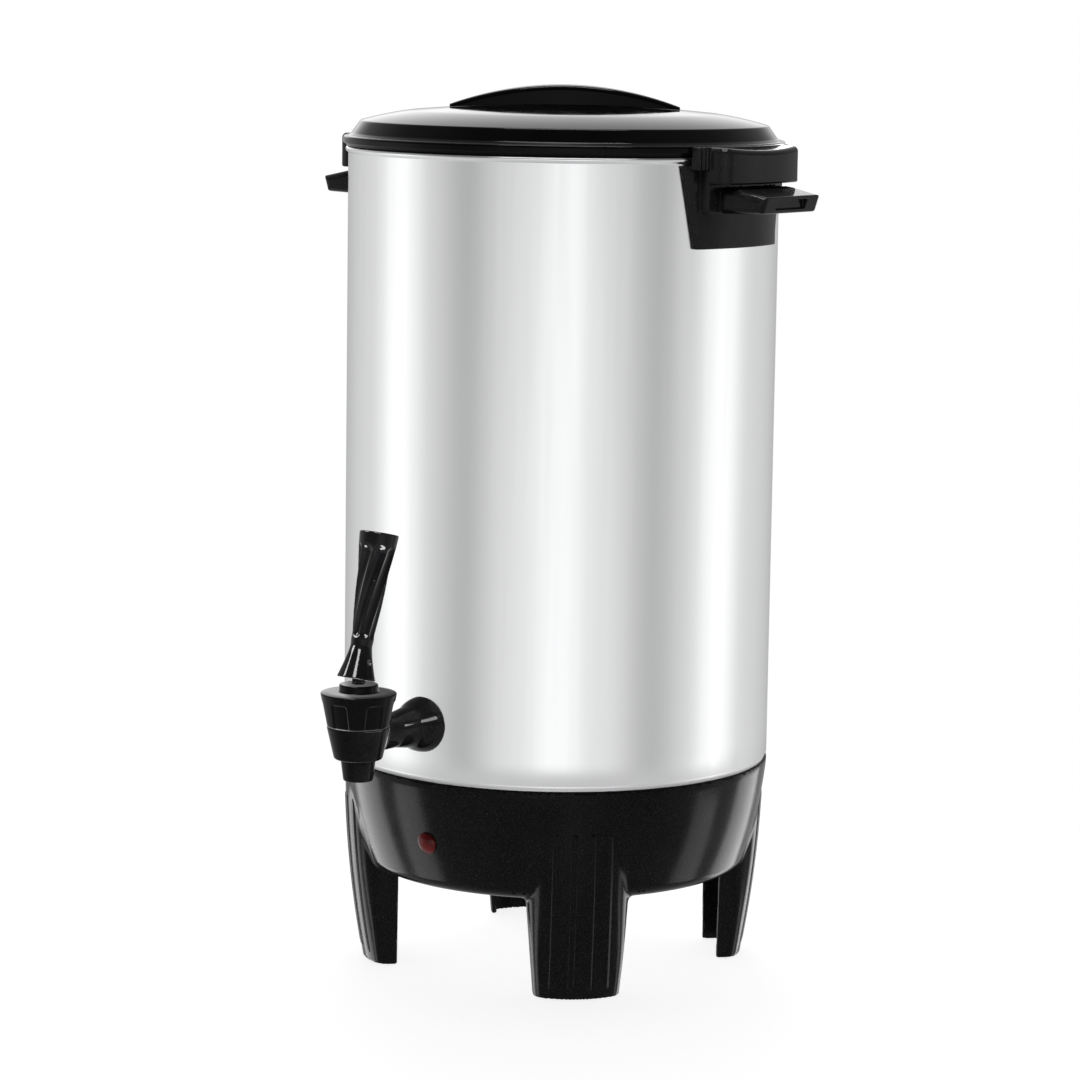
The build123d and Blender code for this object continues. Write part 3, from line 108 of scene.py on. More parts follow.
def noiseNode(tree, coords, scale, detail, stretch=(1, 1, 1), roughness=0.55):
    mapping = tree.nodes.new("ShaderNodeMapping")
    mapping.inputs["Scale"].default_value = stretch
    link(tree, coords, "Object", mapping, "Vector")
    noise = tree.nodes.new("ShaderNodeTexNoise")
    noise.inputs["Scale"].default_value = scale
    noise.inputs["Detail"].default_value = detail
    noise.inputs["Roughness"].default_value = roughness
    link(tree, mapping, "Vector", noise, "Vector")
    return noise


def ramp(tree, value, stops):
    made = tree.nodes.new("ShaderNodeValToRGB")
    elements = made.color_ramp.elements
    while len(elements) < len(stops):
        elements.new(0.5)
    for element, (place, colour) in zip(elements, stops):
        element.position = place
        element.color = (*colour, 1)
    tree.links.new(value, made.inputs["Fac"])
    return made


# where the noise is cut to give the colour and the roughness their full swing
noiseSwing = dict(colour=(0.35, 0.65), rough=(0.3, 0.7))


# colour and roughness drift between two values each, over a bevelled edge and a fine bump;
# scales are those of the two noises
def finish(slot, colours, rough, scales=(60.0, 120.0), stretch=(1, 1, 1), bump=None,
           speckle=None, edge=0.0, **sockets):
    first, *others = slot.split("_")
    made = newMaterial(first + "".join(word.title() for word in others))
    tree = made.node_tree
    out = tree.nodes.new("ShaderNodeOutputMaterial")
    shader = tree.nodes.new("ShaderNodeBsdfPrincipled")
    link(tree, shader, "BSDF", out, "Surface")
    coords = tree.nodes.new("ShaderNodeTexCoord")
    tint = noiseNode(tree, coords, scales[0], 4.0, stretch)
    colour = ramp(tree, tint.outputs["Fac"], list(zip(noiseSwing["colour"], colours)))
    colour = colour.outputs["Color"]
    if speckle:
        dots = noiseNode(tree, coords, speckle["scale"], 1.0)
        mask = ramp(tree, dots.outputs["Fac"],
                    [(speckle["low"], (0, 0, 0)), (speckle["high"], (1, 1, 1))])
        colour = colourMix(tree, mask.outputs["Color"], colour, (*speckle["colour"], 1))
    tree.links.new(colour, shader.inputs["Base Color"])
    wear = noiseNode(tree, coords, scales[1], 5.0, stretch)
    spread = rangeNode(tree, wear.outputs["Fac"], noiseSwing["rough"], rough)
    link(tree, spread, "Result", shader, "Roughness")
    normal = None
    if edge:
        bevel = tree.nodes.new("ShaderNodeBevel")
        bevel.inputs["Radius"].default_value = edge
        normal = bevel.outputs["Normal"]
    if bump:
        relief = noiseNode(tree, coords, bump["scale"], 2.0, bump["stretch"])
        node = tree.nodes.new("ShaderNodeBump")
        node.inputs["Strength"].default_value = bump["strength"]
        node.inputs["Distance"].default_value = bump["depth"]
        link(tree, relief, "Fac", node, "Height")
        if normal is not None:
            tree.links.new(normal, node.inputs["Normal"])
        normal = node.outputs["Normal"]
    if normal is not None:
        tree.links.new(normal, shader.inputs["Normal"])
    for socket, value in sockets.items():
        shader.inputs[socket.replace("_", " ")].default_value = value
    return made


def grain(scale, strength, depth=0.0002, stretch=(1, 1, 1)):
    return dict(scale=scale, strength=strength, depth=depth, stretch=stretch)


steel = dict(Metallic=1.0)
plastic = dict(Specular_IOR_Level=0.08)
# every finish is built from noise, so nothing is one flat colour
finishes = {
    "tank_steel": dict(colours=((0.86, 0.865, 0.87), (0.89, 0.893, 0.9)), rough=(0.18, 0.26),
        scales=(55.0, 80.0), stretch=(1, 1, 0.03), bump=grain(900.0, 0.02, stretch=(1, 1, 0.05)),
        **steel),
    "base_black": dict(colours=((0.0028, 0.0028, 0.003), (0.0042, 0.0042, 0.0045)),
        rough=(0.12, 0.18), scales=(30.0, 60.0), bump=grain(1500.0, 0.06, depth=0.0003),
        speckle=dict(scale=2200.0, low=0.58, high=0.7, colour=(0.03, 0.03, 0.033)),
        Specular_IOR_Level=0.06),
    "cover_steel": dict(colours=((0.55, 0.56, 0.57), (0.62, 0.63, 0.64)), rough=(0.35, 0.5),
        **steel),
    "lens_red": dict(colours=((0.06, 0.003, 0.003), (0.12, 0.006, 0.005)), rough=(0.06, 0.12),
        scales=(260.0, 120.0), Specular_IOR_Level=0.2),
    "lamp_glass": dict(colours=((0.7, 0.35, 0.2), (0.8, 0.45, 0.28)), rough=(0.05, 0.1)),
    "spring_steel": dict(colours=((0.5, 0.51, 0.53), (0.6, 0.61, 0.63)), rough=(0.2, 0.3),
        **steel),
    "inlet_black": dict(colours=((0.012, 0.012, 0.012), (0.018, 0.018, 0.018)), rough=(0.45, 0.6),
        bump=grain(1400.0, 0.15)),
    "fastener_steel": dict(colours=((0.6, 0.61, 0.63), (0.7, 0.7, 0.68)), rough=(0.25, 0.38),
        **steel),
    "strap_steel": dict(colours=((0.55, 0.56, 0.57), (0.65, 0.65, 0.64)), rough=(0.3, 0.42),
        **steel),
    "shield_aluminium": dict(colours=((0.74, 0.75, 0.76), (0.82, 0.82, 0.82)), rough=(0.3, 0.45),
        stretch=(1, 8, 1), **steel),
    "element_steel": dict(colours=((0.3, 0.27, 0.22), (0.46, 0.43, 0.4)), rough=(0.35, 0.5),
        **steel),
    "thermostat_body": dict(colours=((0.05, 0.045, 0.04), (0.08, 0.07, 0.06)), rough=(0.5, 0.7)),
    "fuse_metal": dict(colours=((0.62, 0.62, 0.6), (0.72, 0.72, 0.7)), rough=(0.3, 0.4), **steel),
    "lead_sleeve": dict(colours=((0.62, 0.59, 0.52), (0.72, 0.7, 0.63)), rough=(0.6, 0.8),
        bump=grain(1800.0, 0.3)),
    "tap_black": dict(colours=((0.0018, 0.0018, 0.002), (0.0032, 0.0032, 0.0035)),
        rough=(0.06, 0.1), scales=(80.0, 200.0), bump=grain(1300.0, 0.03),
        speckle=dict(scale=2600.0, low=0.6, high=0.7, colour=(0.016, 0.016, 0.017)), **plastic),
    "seal_rubber": dict(colours=((0.012, 0.012, 0.012), (0.02, 0.02, 0.02)), rough=(0.5, 0.65),
        bump=grain(1500.0, 0.2)),
    "stem_black": dict(colours=((0.005, 0.005, 0.005), (0.009, 0.009, 0.009)), rough=(0.3, 0.4),
        bump=grain(1500.0, 0.1), **plastic),
    "nut_black": dict(colours=((0.015, 0.015, 0.015), (0.025, 0.025, 0.025)), rough=(0.4, 0.5)),
    "handle_black": dict(colours=((0.003, 0.003, 0.0032), (0.0055, 0.0055, 0.0058)),
        rough=(0.09, 0.13), scales=(60.0, 150.0), bump=grain(1300.0, 0.06),
        speckle=dict(scale=2400.0, low=0.6, high=0.7, colour=(0.022, 0.021, 0.021)),
        Specular_IOR_Level=0.11),
    "screw_steel": dict(colours=((0.6, 0.61, 0.62), (0.7, 0.7, 0.71)), rough=(0.2, 0.3), **steel),
    # the stem's steel is coloured nearly black, far darker than the other steel: painted shade for
    # where it shows in the gap under the lever's skirt
    "stem_steel": dict(colours=((0.05, 0.05, 0.052), (0.08, 0.08, 0.083)), rough=(0.3, 0.4),
        **steel),
    "cup_silicone": dict(colours=((0.7, 0.69, 0.65), (0.78, 0.77, 0.73)), rough=(0.45, 0.6)),
    "lever_black": dict(colours=((0.001, 0.001, 0.0011), (0.0018, 0.0018, 0.002)),
        rough=(0.05, 0.08), scales=(80.0, 160.0), bump=grain(900.0, 0.03),
        Specular_IOR_Level=0.16),
    "lid_black": dict(colours=((0.0022, 0.0022, 0.0024), (0.0036, 0.0036, 0.0038)),
        rough=(0.05, 0.09), scales=(40.0, 80.0), edge=0.0006, bump=grain(160.0, 0.02), **plastic),
    "brew_aluminium": dict(colours=((0.74, 0.745, 0.75), (0.83, 0.83, 0.83)), rough=(0.28, 0.42),
        stretch=(1, 1, 6), **steel),
}
materials = {slot: finish(slot, **settings) for slot, settings in finishes.items()}

# the tank's inside is satin, so that it takes light through the open top; in metres
insideForm = dict(radius=0.1196, height=0.455, metallic=0.3, roughness=0.4)


def satinInside(material, form):
    tree = material.node_tree
    shader = tree.nodes["Principled BSDF"]
    coords = tree.nodes.new("ShaderNodeTexCoord")
    split = tree.nodes.new("ShaderNodeSeparateXYZ")
    link(tree, coords, "Object", split, "Vector")
    x, y, z = split.outputs
    squares = mathsNode(tree, "ADD", mathsNode(tree, "MULTIPLY", x, x),
                        mathsNode(tree, "MULTIPLY", y, y))
    near = mathsNode(tree, "LESS_THAN", squares, form["radius"] ** 2)
    inside = mathsNode(tree, "MULTIPLY", near, mathsNode(tree, "LESS_THAN", z, form["height"]))
    less = mathsNode(tree, "MULTIPLY", inside, 1 - form["metallic"])
    tree.links.new(mathsNode(tree, "SUBTRACT", 1.0, less), shader.inputs["Metallic"])
    outer = shader.inputs["Roughness"].links[0].from_socket
    more = mathsNode(tree, "MULTIPLY", inside, form["roughness"])
    tree.links.new(mathsNode(tree, "MAXIMUM", outer, more), shader.inputs["Roughness"])


satinInside(materials["tank_steel"], insideForm)
for part in frame["record"]["subparts"]:
    cadObject = nodes[part["node"]]
    for place in cadObject.material_slots:
        place.link = "OBJECT"
        place.material = materials[part["material_slot"]]
print("materials:", len(materials))


# points and faces in metres; the builders below work in millimetres
def meshObject(name, points, faces, normals=None):
    mesh = bpy.data.meshes.new(name)
    mesh.from_pydata([tuple(p) for p in points], [], [tuple(f) for f in faces])
    mesh.polygons.foreach_set("use_smooth", [True] * len(mesh.polygons))
    mesh.update()
    if normals is not None:
        mesh.normals_split_custom_set_from_vertices([tuple(n) for n in normals])
    return addObject(name, mesh)


# gives a piece its finish, the body it moves with and the nodes it stands for
def dress(piece, body, slotName, *replaced):
    piece.data.materials.append(materials[slotName])
    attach(piece, body)
    if replaced:
        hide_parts(*replaced)
    print("piece:", piece.name, len(piece.data.polygons))


# a fillet takes at most a share of each side, and a short lead runs before and after it
filletForm = dict(steps=5, most=0.48, lead=0.3, leadMost=0.1)


# closes an outline of corners (radius, height, fillet) and rounds them
def roundedProfile(corners):
    steps, most, lead, leadMost = filletForm.values()
    points = []
    count = len(corners)
    for i, (r, z, fillet) in enumerate(corners):
        here = np.array((r, z))
        before = np.array(corners[i - 1][:2]) - here
        after = np.array(corners[(i + 1) % count][:2]) - here
        if fillet <= 0:
            points.append(here)
            continue
        a, b = np.linalg.norm(before), np.linalg.norm(after)
        before, after = before / a, after / b
        half = math.acos(max(-1, min(1, float(before @ after)))) / 2
        reach = min(fillet / math.tan(half), most * a, most * b)
        radius = reach * math.tan(half)
        centre = here + (before + after) / np.linalg.norm(before + after) * radius / math.sin(half)
        start, end = here + before * reach, here + after * reach
        a0 = math.atan2(*(start - centre)[::-1])
        sweep = math.atan2(*(end - centre)[::-1]) - a0
        sweep = (sweep + math.pi) % (2 * math.pi) - math.pi
        points.append(start + before * min(lead * radius, leadMost * a))
        for k in range(steps + 1):
            angle = a0 + sweep * k / steps
            points.append(centre + radius * np.array((math.cos(angle), math.sin(angle))))
        points.append(end + after * min(lead * radius, leadMost * b))
    return points


# turns a closed outline of (radius, height) about +Z; points at radius 0 become poles
def lathe(name, outline, segments):
    rings, points = [], []
    for r, z in outline:
        if r < 1e-6:
            rings.append([len(points)])
            points.append((0, 0, z))
        else:
            rings.append(list(range(len(points), len(points) + segments)))
            angles = 2 * math.pi * np.arange(segments) / segments
            points += [(r * math.cos(t), r * math.sin(t), z) for t in angles]
    faces = []
    for a, b in zip(rings, rings[1:] + rings[:1]):
        if len(a) == 1 and len(b) == 1:
            continue
        for k in range(segments):
            m = (k + 1) % segments
            if len(a) == 1:
                faces.append((a[0], b[m], b[k]))
            elif len(b) == 1:
                faces.append((a[k], a[m], b[0]))
            else:
                faces.append((a[k], a[m], b[m], b[k]))
    return meshObject(name, np.array(points) * mm, faces)


netForm = dict(rounds=4, probe=0.1, move=0.4, leastSlope=0.05)


# meshes the surface where a distance field is zero: one point in each cell that the surface
# crosses, one face across each crossed edge, and then every point is settled on the surface
def netMesh(name, field, low, high, cell, mirror=False):
    probe, move = netForm["probe"] * cell, netForm["move"] * cell
    low = np.array(low, float)
    if mirror:
        low[0] = -cell / 2
    counts = np.ceil((np.array(high) - low) / cell).astype(int) + 1
    axes = [low[i] + cell * np.arange(counts[i]) for i in range(3)]
    values = field(*np.meshgrid(*axes, indexing="ij"))
    shape = tuple(counts - 1)
    total, hits = np.zeros(shape + (3,)), np.zeros(shape)
    crossings = []
    for axis in range(3):  # where the field changes sign along this axis
        first, second = [slice(None)] * 3, [slice(None)] * 3
        first[axis], second[axis] = slice(0, -1), slice(1, None)
        va, vb = values[tuple(first)], values[tuple(second)]
        cross = (va < 0) != (vb < 0)
        share = np.where(cross, va / np.where(cross, va - vb, 1), 0)
        crossings.append((cross, va < 0))
        others = [i for i in range(3) if i != axis]
        for da in (0, 1):
            for db in (0, 1):
                part = [slice(None)] * 3
                part[others[0]] = slice(da, da + shape[others[0]])
                part[others[1]] = slice(db, db + shape[others[1]])
                here, t = cross[tuple(part)], share[tuple(part)]
                hits += here
                for i in range(3):
                    base = axes[i][:-1]
                    if i == others[0]:
                        base = base + da * cell
                    if i == others[1]:
                        base = base + db * cell
                    form = [1, 1, 1]
                    form[i] = -1
                    place = base.reshape(form)
                    total[..., i] += here * (place + t * cell if i == axis else place)
    active = hits > 0
    ids = np.full(shape, -1)
    ids[active] = np.arange(active.sum())
    points = total[active] / hits[active][:, None]
    faces = []
    for axis, (cross, rising) in enumerate(crossings):  # rising: the inside lies behind
        b, c = (axis + 1) % 3, (axis + 2) % 3
        where = np.argwhere(cross)
        keep = (where[:, b] > 0) & (where[:, c] > 0)
        keep &= (where[:, b] < shape[b]) & (where[:, c] < shape[c])
        where = where[keep]
        corner = []
        for db, dc in ((1, 1), (0, 1), (0, 0), (1, 0)):
            moved = where.copy()
            moved[:, b] -= db
            moved[:, c] -= dc
            corner.append(ids[tuple(moved.T)])
        quads = np.stack(corner, 1)
        flip = ~rising[tuple(where.T)]
        quads[flip] = quads[flip][:, ::-1]
        faces.append(quads)
    faces = np.concatenate(faces)
    onPlane = np.abs(points[:, 0]) < cell / 2 if mirror else np.zeros(len(points), bool)
    points[onPlane, 0] = 0

    def slopes(p):
        made = np.empty_like(p)
        for i in range(3):
            step = np.zeros(3)
            step[i] = probe
            made[:, i] = (field(*(p + step).T) - field(*(p - step).T)) / (2 * probe)
        made[onPlane, 0] = 0
        return made

    for each in range(netForm["rounds"]):
        g = slopes(points)
        size = np.maximum((g**2).sum(1), netForm["leastSlope"])
        points -= np.clip(field(*points.T) / size, -move, move)[:, None] * g
    normals = slopes(points)
    if mirror:
        count = len(points)
        other = np.arange(count)
        off = np.flatnonzero(~onPlane)
        other[off] = count + np.arange(len(off))
        points = np.concatenate([points, points[off] * (-1, 1, 1)])
        normals = np.concatenate([normals, normals[off] * (-1, 1, 1)])
        faces = np.concatenate([faces, other[faces][:, ::-1]])
    normals /= np.maximum(np.linalg.norm(normals, axis=1), 1e-6)[:, None]
    return meshObject(name, points * mm, faces.tolist(), normals)


# where two forms overlap, with the edge between them rounded
def roundMax(a, b, r):
    return np.minimum(-r, np.maximum(a, b)) + np.hypot(np.maximum(a + r, 0), np.maximum(b + r, 0))


# two forms joined, with a soft fillet between them
def smoothMin(a, b, k):
    near = np.maximum(k - np.abs(a - b), 0) / k
    return np.minimum(a, b) - near * near * k / 4


def blockField(px, py, pz, centre, half, r):
    q = [np.abs(p - c) - h + r for p, c, h in zip((px, py, pz), centre, half)]
    outside = np.sqrt(sum(np.maximum(v, 0) ** 2 for v in q))
    return outside + np.minimum(np.maximum(q[0], np.maximum(q[1], q[2])), 0) - r


# centre and radius of the circle through three points
def circleThrough(p, q, s):
    (x1, y1), (x2, y2), (x3, y3) = p, q, s
    ax, ay, bx, by = x2 - x1, y2 - y1, x3 - x1, y3 - y1
    cross = 2 * (ax * by - ay * bx)
    aa, bb = ax * ax + ay * ay, bx * bx + by * by
    x, y = x1 + (by * aa - ay * bb) / cross, y1 + (ax * bb - bx * aa) / cross
    return x, y, math.hypot(x1 - x, y1 - y)


# tank: a fine turned shell with a rolled bead
tankForm = dict(wall=0.8, radius=120.0, neck=117.0, foot=118.3, floor=109.2, well=30.0,
                wellFloor=101.2, bead=1.7, beadCentre=(119.8, 457.1), beadSteps=20,
                outerFillets=(0, 1.6, 1.2, 2.4, 0.4, 0.35),
                innerFillets=(0.4, 0.4, 1.8, 1.6, 1.0, 0), rows=24, rowEnds=(3, 0.6),
                segments=256)


def makeTank(form):
    r, t = form["radius"], form["wall"]
    bead, (bx, bz) = form["bead"], form["beadCentre"]
    rise = math.sqrt(bead**2 - (r - bx) ** 2)
    outer = [(0, form["wellFloor"]), (form["well"], form["wellFloor"]),
             (form["well"], form["floor"]), (form["neck"], form["floor"]),
             (form["neck"], form["foot"]), (r, form["foot"])]
    points = roundedProfile([(*c, f) for c, f in zip(outer, form["outerFillets"])])
    start = math.atan2(-rise, r - bx)
    end = math.atan2(-math.sqrt(bead**2 - (bx - r + t) ** 2), r - t - bx)
    sweep = (end - start) % (2 * math.pi)
    low, high = form["rowEnds"]
    heights = np.linspace(form["foot"] + low, bz - rise - high, form["rows"])
    points += [np.array((r, z)) for z in heights]
    for k in range(form["beadSteps"] + 1):
        angle = start + sweep * k / form["beadSteps"]
        points.append(np.array((bx + bead * math.cos(angle), bz + bead * math.sin(angle))))
    points += [np.array((r - t, z)) for z in heights[::-1]]
    inner = [(x - t, z + t) for x, z in outer[:0:-1]] + [(0, form["wellFloor"] + t)]
    points += roundedProfile([(*c, f) for c, f in zip(inner, form["innerFillets"])])
    return lathe("tankWall", points, form["segments"])


dress(makeTank(tankForm), "urn", "tank_steel", "tank_shell")

# base housing: bowl and four legs in one moulding, with blended roots
baseForm = dict(radius=120.0, top=118.0, floor=55.0, side=((120.0, 115.0), (115.6, 87.0),
                (108.4, 60.0)), corner=6.5, wall=2.7, ring=117.3, ledge=110.0, ledgeTop=109.2,
                ledgeLow=106.5, floorTop=58.9, rabbet=56.2, coverRadius=93.8, coverLedge=90.0,
                blend=(4.5, 26.0), blendRise=(56.0, 92.0), blendLeast=0.06, topEdge=0.4,
                footEdge=1.0, overlap=1.0, grid=((0, -124, -2.6), (124, 124, 120.9)), cell=1.3)
legForm = dict(face=((108.5, 0.0), (115.4, 45.0), (119.5, 112.0)), bow=40.0, half=23.6,
               widen=0.083, slant=0.9966, back=91.5, backEdge=0.8, hollowBack=87.5, under=4.0,
               top=112.0, wall=2.8, corner=(4.0, 10.0), cornerRise=(15.0, 72.0), wedge=2.4)
padForm = dict(half=(19.0, 15.0), face=117.0, height=92.0, hole=(13.7, 9.7), corner=4.0, edge=0.6,
               inner=100.0, holeFrom=60.0)
lensForm = dict(height=83.0, hole=4.65, holeFrom=60.0)
sideX, sideZ, sideR = circleThrough(*baseForm["side"])
faceX, faceZ, faceR = circleThrough(*legForm["face"])


def bowlField(x, y, z):
    rho = np.hypot(x, y)
    side = np.maximum(np.hypot(rho - sideX, z - sideZ) - sideR, rho - baseForm["radius"])
    body = roundMax(side, baseForm["floor"] - z, baseForm["corner"])
    return roundMax(body, z - baseForm["top"], baseForm["topEdge"])


def easedShare(value, ends):
    share = np.clip((value - ends[0]) / (ends[1] - ends[0]), 0, 1)
    return share * share * (3 - 2 * share)


def legCorner(z):
    low, high = legForm["corner"]
    return low + (high - low) * easedShare(z, legForm["cornerRise"])


def legFaces(x, y, z):
    u, w = (x + np.abs(y)) / math.sqrt(2), (np.abs(y) - x) / math.sqrt(2)
    bowed = u + legForm["bow"] - np.sqrt(np.maximum(legForm["bow"] ** 2 - w**2, 1))
    face = np.hypot(bowed - faceX, z - faceZ) - faceR
    side = (np.abs(w) - legForm["half"] - legForm["widen"] * z) * legForm["slant"]
    return u, face, side


def legField(x, y, z):
    u, face, side = legFaces(x, y, z)
    body = roundMax(face, side, legCorner(z))
    body = roundMax(body, legForm["back"] - u, legForm["backEdge"])
    return np.maximum(body, -z - legForm["under"])


def slopeOf(field, x, y, z, value, h=0.2):
    return (field(x + h, y, z) - value, field(x, y + h, z) - value, field(x, y, z + h) - value)


# the bowl and the legs, blended more where the blend is high and their faces meet squarely
def bodyField(x, y, z, bowl):
    leg = legField(x, y, z)
    one = slopeOf(bowlField, x, y, z, bowl)
    two = slopeOf(legField, x, y, z, leg)
    size = np.sqrt(sum(v * v for v in one) * sum(v * v for v in two)) + 1e-9
    alike = sum(a * b for a, b in zip(one, two)) / size
    low, high = baseForm["blend"]
    reach = low + (high - low) * easedShare(z, baseForm["blendRise"])
    reach = reach * np.clip(1 - alike, baseForm["blendLeast"], 1)
    solid = smoothMin(bowl, leg, reach)
    return roundMax(np.maximum(solid, z - baseForm["top"]), -z, baseForm["footEdge"])


def padField(x, y, z):
    f = padForm
    aside = np.maximum(np.abs(x) - f["half"][0] + f["corner"], 0)
    above = np.maximum(np.abs(z - f["height"]) - f["half"][1] + f["corner"], 0)
    pad = np.hypot(aside, above) - f["corner"]
    return np.maximum(roundMax(pad, y - f["face"], f["edge"]), f["inner"] - y)


def baseField(x, y, z):
    f, rho = baseForm, np.hypot(x, y)
    bowl = bowlField(x, y, z)
    side = np.hypot(rho - sideX, z - sideZ) - sideR + f["wall"]
    hollow = np.maximum(np.maximum(side, z - f["ledgeLow"]), f["floorTop"] - z)
    solid = np.minimum(bodyField(x, y, z, bowl), np.maximum(padField(x, y, z), -hollow))
    u, face, legSide = legFaces(x, y, z)
    wall = legForm["wall"]
    legHollow = roundMax(face + wall, legSide + wall, legCorner(z) - wall)
    legHollow = roundMax(np.maximum(legHollow, z - legForm["top"]), -bowl, legForm["wedge"])
    legHollow = np.maximum(legHollow, legForm["hollowBack"] - u)
    pocket = np.maximum(rho - f["ring"], f["ledgeTop"] - z)
    through = np.maximum(rho - f["ledge"], f["ledgeLow"] - f["overlap"] - z)
    rabbet = np.maximum(rho - f["coverRadius"], z - f["rabbet"])
    lip = np.maximum(rho - f["coverLedge"], z - f["floorTop"] - f["overlap"])
    hole = np.maximum(np.hypot(x, z - lensForm["height"]) - lensForm["hole"],
                      y + lensForm["holeFrom"])
    socket = np.maximum(np.maximum(np.abs(x) - padForm["hole"][0],
                                   np.abs(z - padForm["height"]) - padForm["hole"][1]),
                        padForm["holeFrom"] - y)
    for cut in (hollow, legHollow, pocket, through, rabbet, lip, hole, socket):
        solid = np.maximum(solid, -cut)
    return solid


housing = netMesh("baseMoulding", baseField, *baseForm["grid"], baseForm["cell"], mirror=True)
dress(housing, "urn", "base_black", "base_housing")

# ribs down each leg's face, closed tubes rooted in the moulding
ribForm = dict(offsets=(-15.0, -5.0, 5.0, 15.0), half=1.8, height=0.7, start=4.0, end=96.0,
               rows=40, columns=9, taper=3.0, bury=0.12, root=1.0, sink=0.5)


def makeRibs(form):
    points, faces, flat = [], [], []
    across = np.linspace(-1, 1, form["columns"])
    wide = len(across) + 2
    for quarter in range(4):
        angle = math.radians(45 + 90 * quarter)
        out = np.array((math.cos(angle), math.sin(angle)))
        side = np.array((-math.sin(angle), math.cos(angle)))
        for offset in form["offsets"]:
            start = len(points)
            for i in range(form["rows"] + 1):
                z = form["start"] + (form["end"] - form["start"]) * i / form["rows"]
                end = min(1, min(z - form["start"], form["end"] - z) / form["taper"])
                reach = faceX + math.sqrt(faceR**2 - (z - faceZ) ** 2)
                ring = []
                for a in across:
                    lift = form["height"] * end * math.cos(a * math.pi / 2) - form["bury"]
                    ring.append((a, lift - form["sink"] * (1 - end) ** 4))
                for a, lift in ring + [(1, -form["root"]), (-1, -form["root"])]:
                    w = offset + a * form["half"]
                    bow = legForm["bow"] - math.sqrt(legForm["bow"] ** 2 - w * w)
                    place = out * (reach - bow + lift) + side * w
                    points.append((place[0], place[1], z))
            for i in range(form["rows"]):
                for k in range(wide):
                    a, b = start + i * wide + k, start + i * wide + (k + 1) % wide
                    if k >= len(across) - 1:
                        flat.append(len(faces))
                    faces.append((a, b, b + wide, a + wide))
            last = start + form["rows"] * wide
            flat += [len(faces), len(faces) + 1]
            faces.append(tuple(start + k for k in reversed(range(wide))))
            faces.append(tuple(last + k for k in range(wide)))
    ribs = meshObject("legRibs", np.array(points) * mm, faces)
    for index in flat:
        ribs.data.polygons[index].use_smooth = False
    return ribs


dress(makeRibs(ribForm), "urn", "base_black")

# lid: a turned dome with a rounded flange and ridge
lidForm = dict(crown=482.9, shoulder=(86.0, 478.8), mid=(101.0, 476.1), ridge=(113.5, 472.9),
               slopeFoot=(118.4, 466.0), flangeTop=464.6, flangeBottom=460.4, flange=122.9,
               flangeIn=2.6, lip=121.6, rest=121.0, seat=459.0, plug=117.6, plugDepth=9.0,
               chamfer=(0.6, 1.2), wall=2.4, plugWall=2.2, ridgeIn=(1.9, 2.2), domeIn=0.7,
               fillets=(0, 1.8, 2.2, 0.6, 1.3, 1.0, 0.3, 0.3, 0.4, 0.3, 0.3, 0.5, 1.0, 1.0, 0),
               domeRows=18, bendRows=12, segments=256)


def makeLid(form):
    t, shoulder, mid, ridge = (form[key] for key in ("wall", "shoulder", "mid", "ridge"))
    domeZ, domeR = circleThrough((-shoulder[0], shoulder[1]), (0, form["crown"]), shoulder)[1:]
    radii = np.linspace(0, shoulder[0], form["domeRows"])
    top = [np.array((r, domeZ + math.sqrt(domeR**2 - r * r))) for r in radii]
    bendX, bendZ, bendR = circleThrough(shoulder, mid, ridge)
    a0, a1 = (math.atan2(z - bendZ, r - bendX) for r, z in (shoulder, ridge))
    top += [np.array((bendX + bendR * math.cos(a), bendZ + bendR * math.sin(a)))
            for a in np.linspace(a0, a1, form["bendRows"])[1:-1]]
    f, plug, seat = form["flange"], form["plug"], form["seat"]
    plugInner, bottom = plug - form["plugWall"], seat - form["plugDepth"]
    inward, upward = form["chamfer"]
    corners = [top[-1], ridge, form["slopeFoot"], (f - form["flangeIn"], form["flangeTop"]),
               (f, form["flangeTop"]), (f, form["flangeBottom"]),
               (form["lip"], form["flangeBottom"]), (form["rest"], seat), (plug, seat),
               (plug, bottom + upward), (plug - inward, bottom), (plugInner, bottom),
               (plugInner, form["slopeFoot"][1] - t),
               (ridge[0] - form["ridgeIn"][0], ridge[1] - form["ridgeIn"][1]),
               top[-1] - (form["domeIn"], t)]
    rounded = roundedProfile([(*c, fillet) for c, fillet in zip(corners, form["fillets"])])
    under = [p - np.array((0, t)) for p in top[:-1]][::-1]
    return lathe("lidDome", (top[:-1] + rounded + under)[::-1], form["segments"])


dress(makeLid(lidForm), "lid", "lid_black", "lid_shell")

# side handles: flange, plate, hollow box and grip in one moulding
gripForm = dict(inner=120.3, bottom=409.6, top=464.2, flangeTop=454.0, flange=2.6,
                flangeHalf=(37.1, 45.9), slant=0.98, plate=3.6, plateHalf=35.6, plateEdge=0.6,
                ledge=428.6, overlap=2.0, half=35.4, back=7.6, edge=0.9,
                grid=((111, -47.5, 408), (156, 47.5, 466)), cell=0.65)
boxForm = dict(inner=100.0, outer=138.8, bottom=444.4, plan=5.0, crown=3.0, dish=1.8, edge=1.2,
               wall=3.0, hollowPlan=3.6, open=6.0, clear=124.2)
lugForm = dict(outer=128.7, bottom=451.7, width=7.0, sunk=0.5, edge=0.8, groove=0.6,
               grooveStep=2.4, grooveFrom=1.0)
tongueForm = dict(half=27.5, corner=4.2, sunk=1.0, points=((122.9, 428.6), (151.0, 429.4),
                  (154.0, 438.4), (134.0, 442.6), (122.9, 442.6)),
                  recess=(153.0, 434.1), recessHalf=(2.7, 14.0, 2.5), recessEdge=0.6)


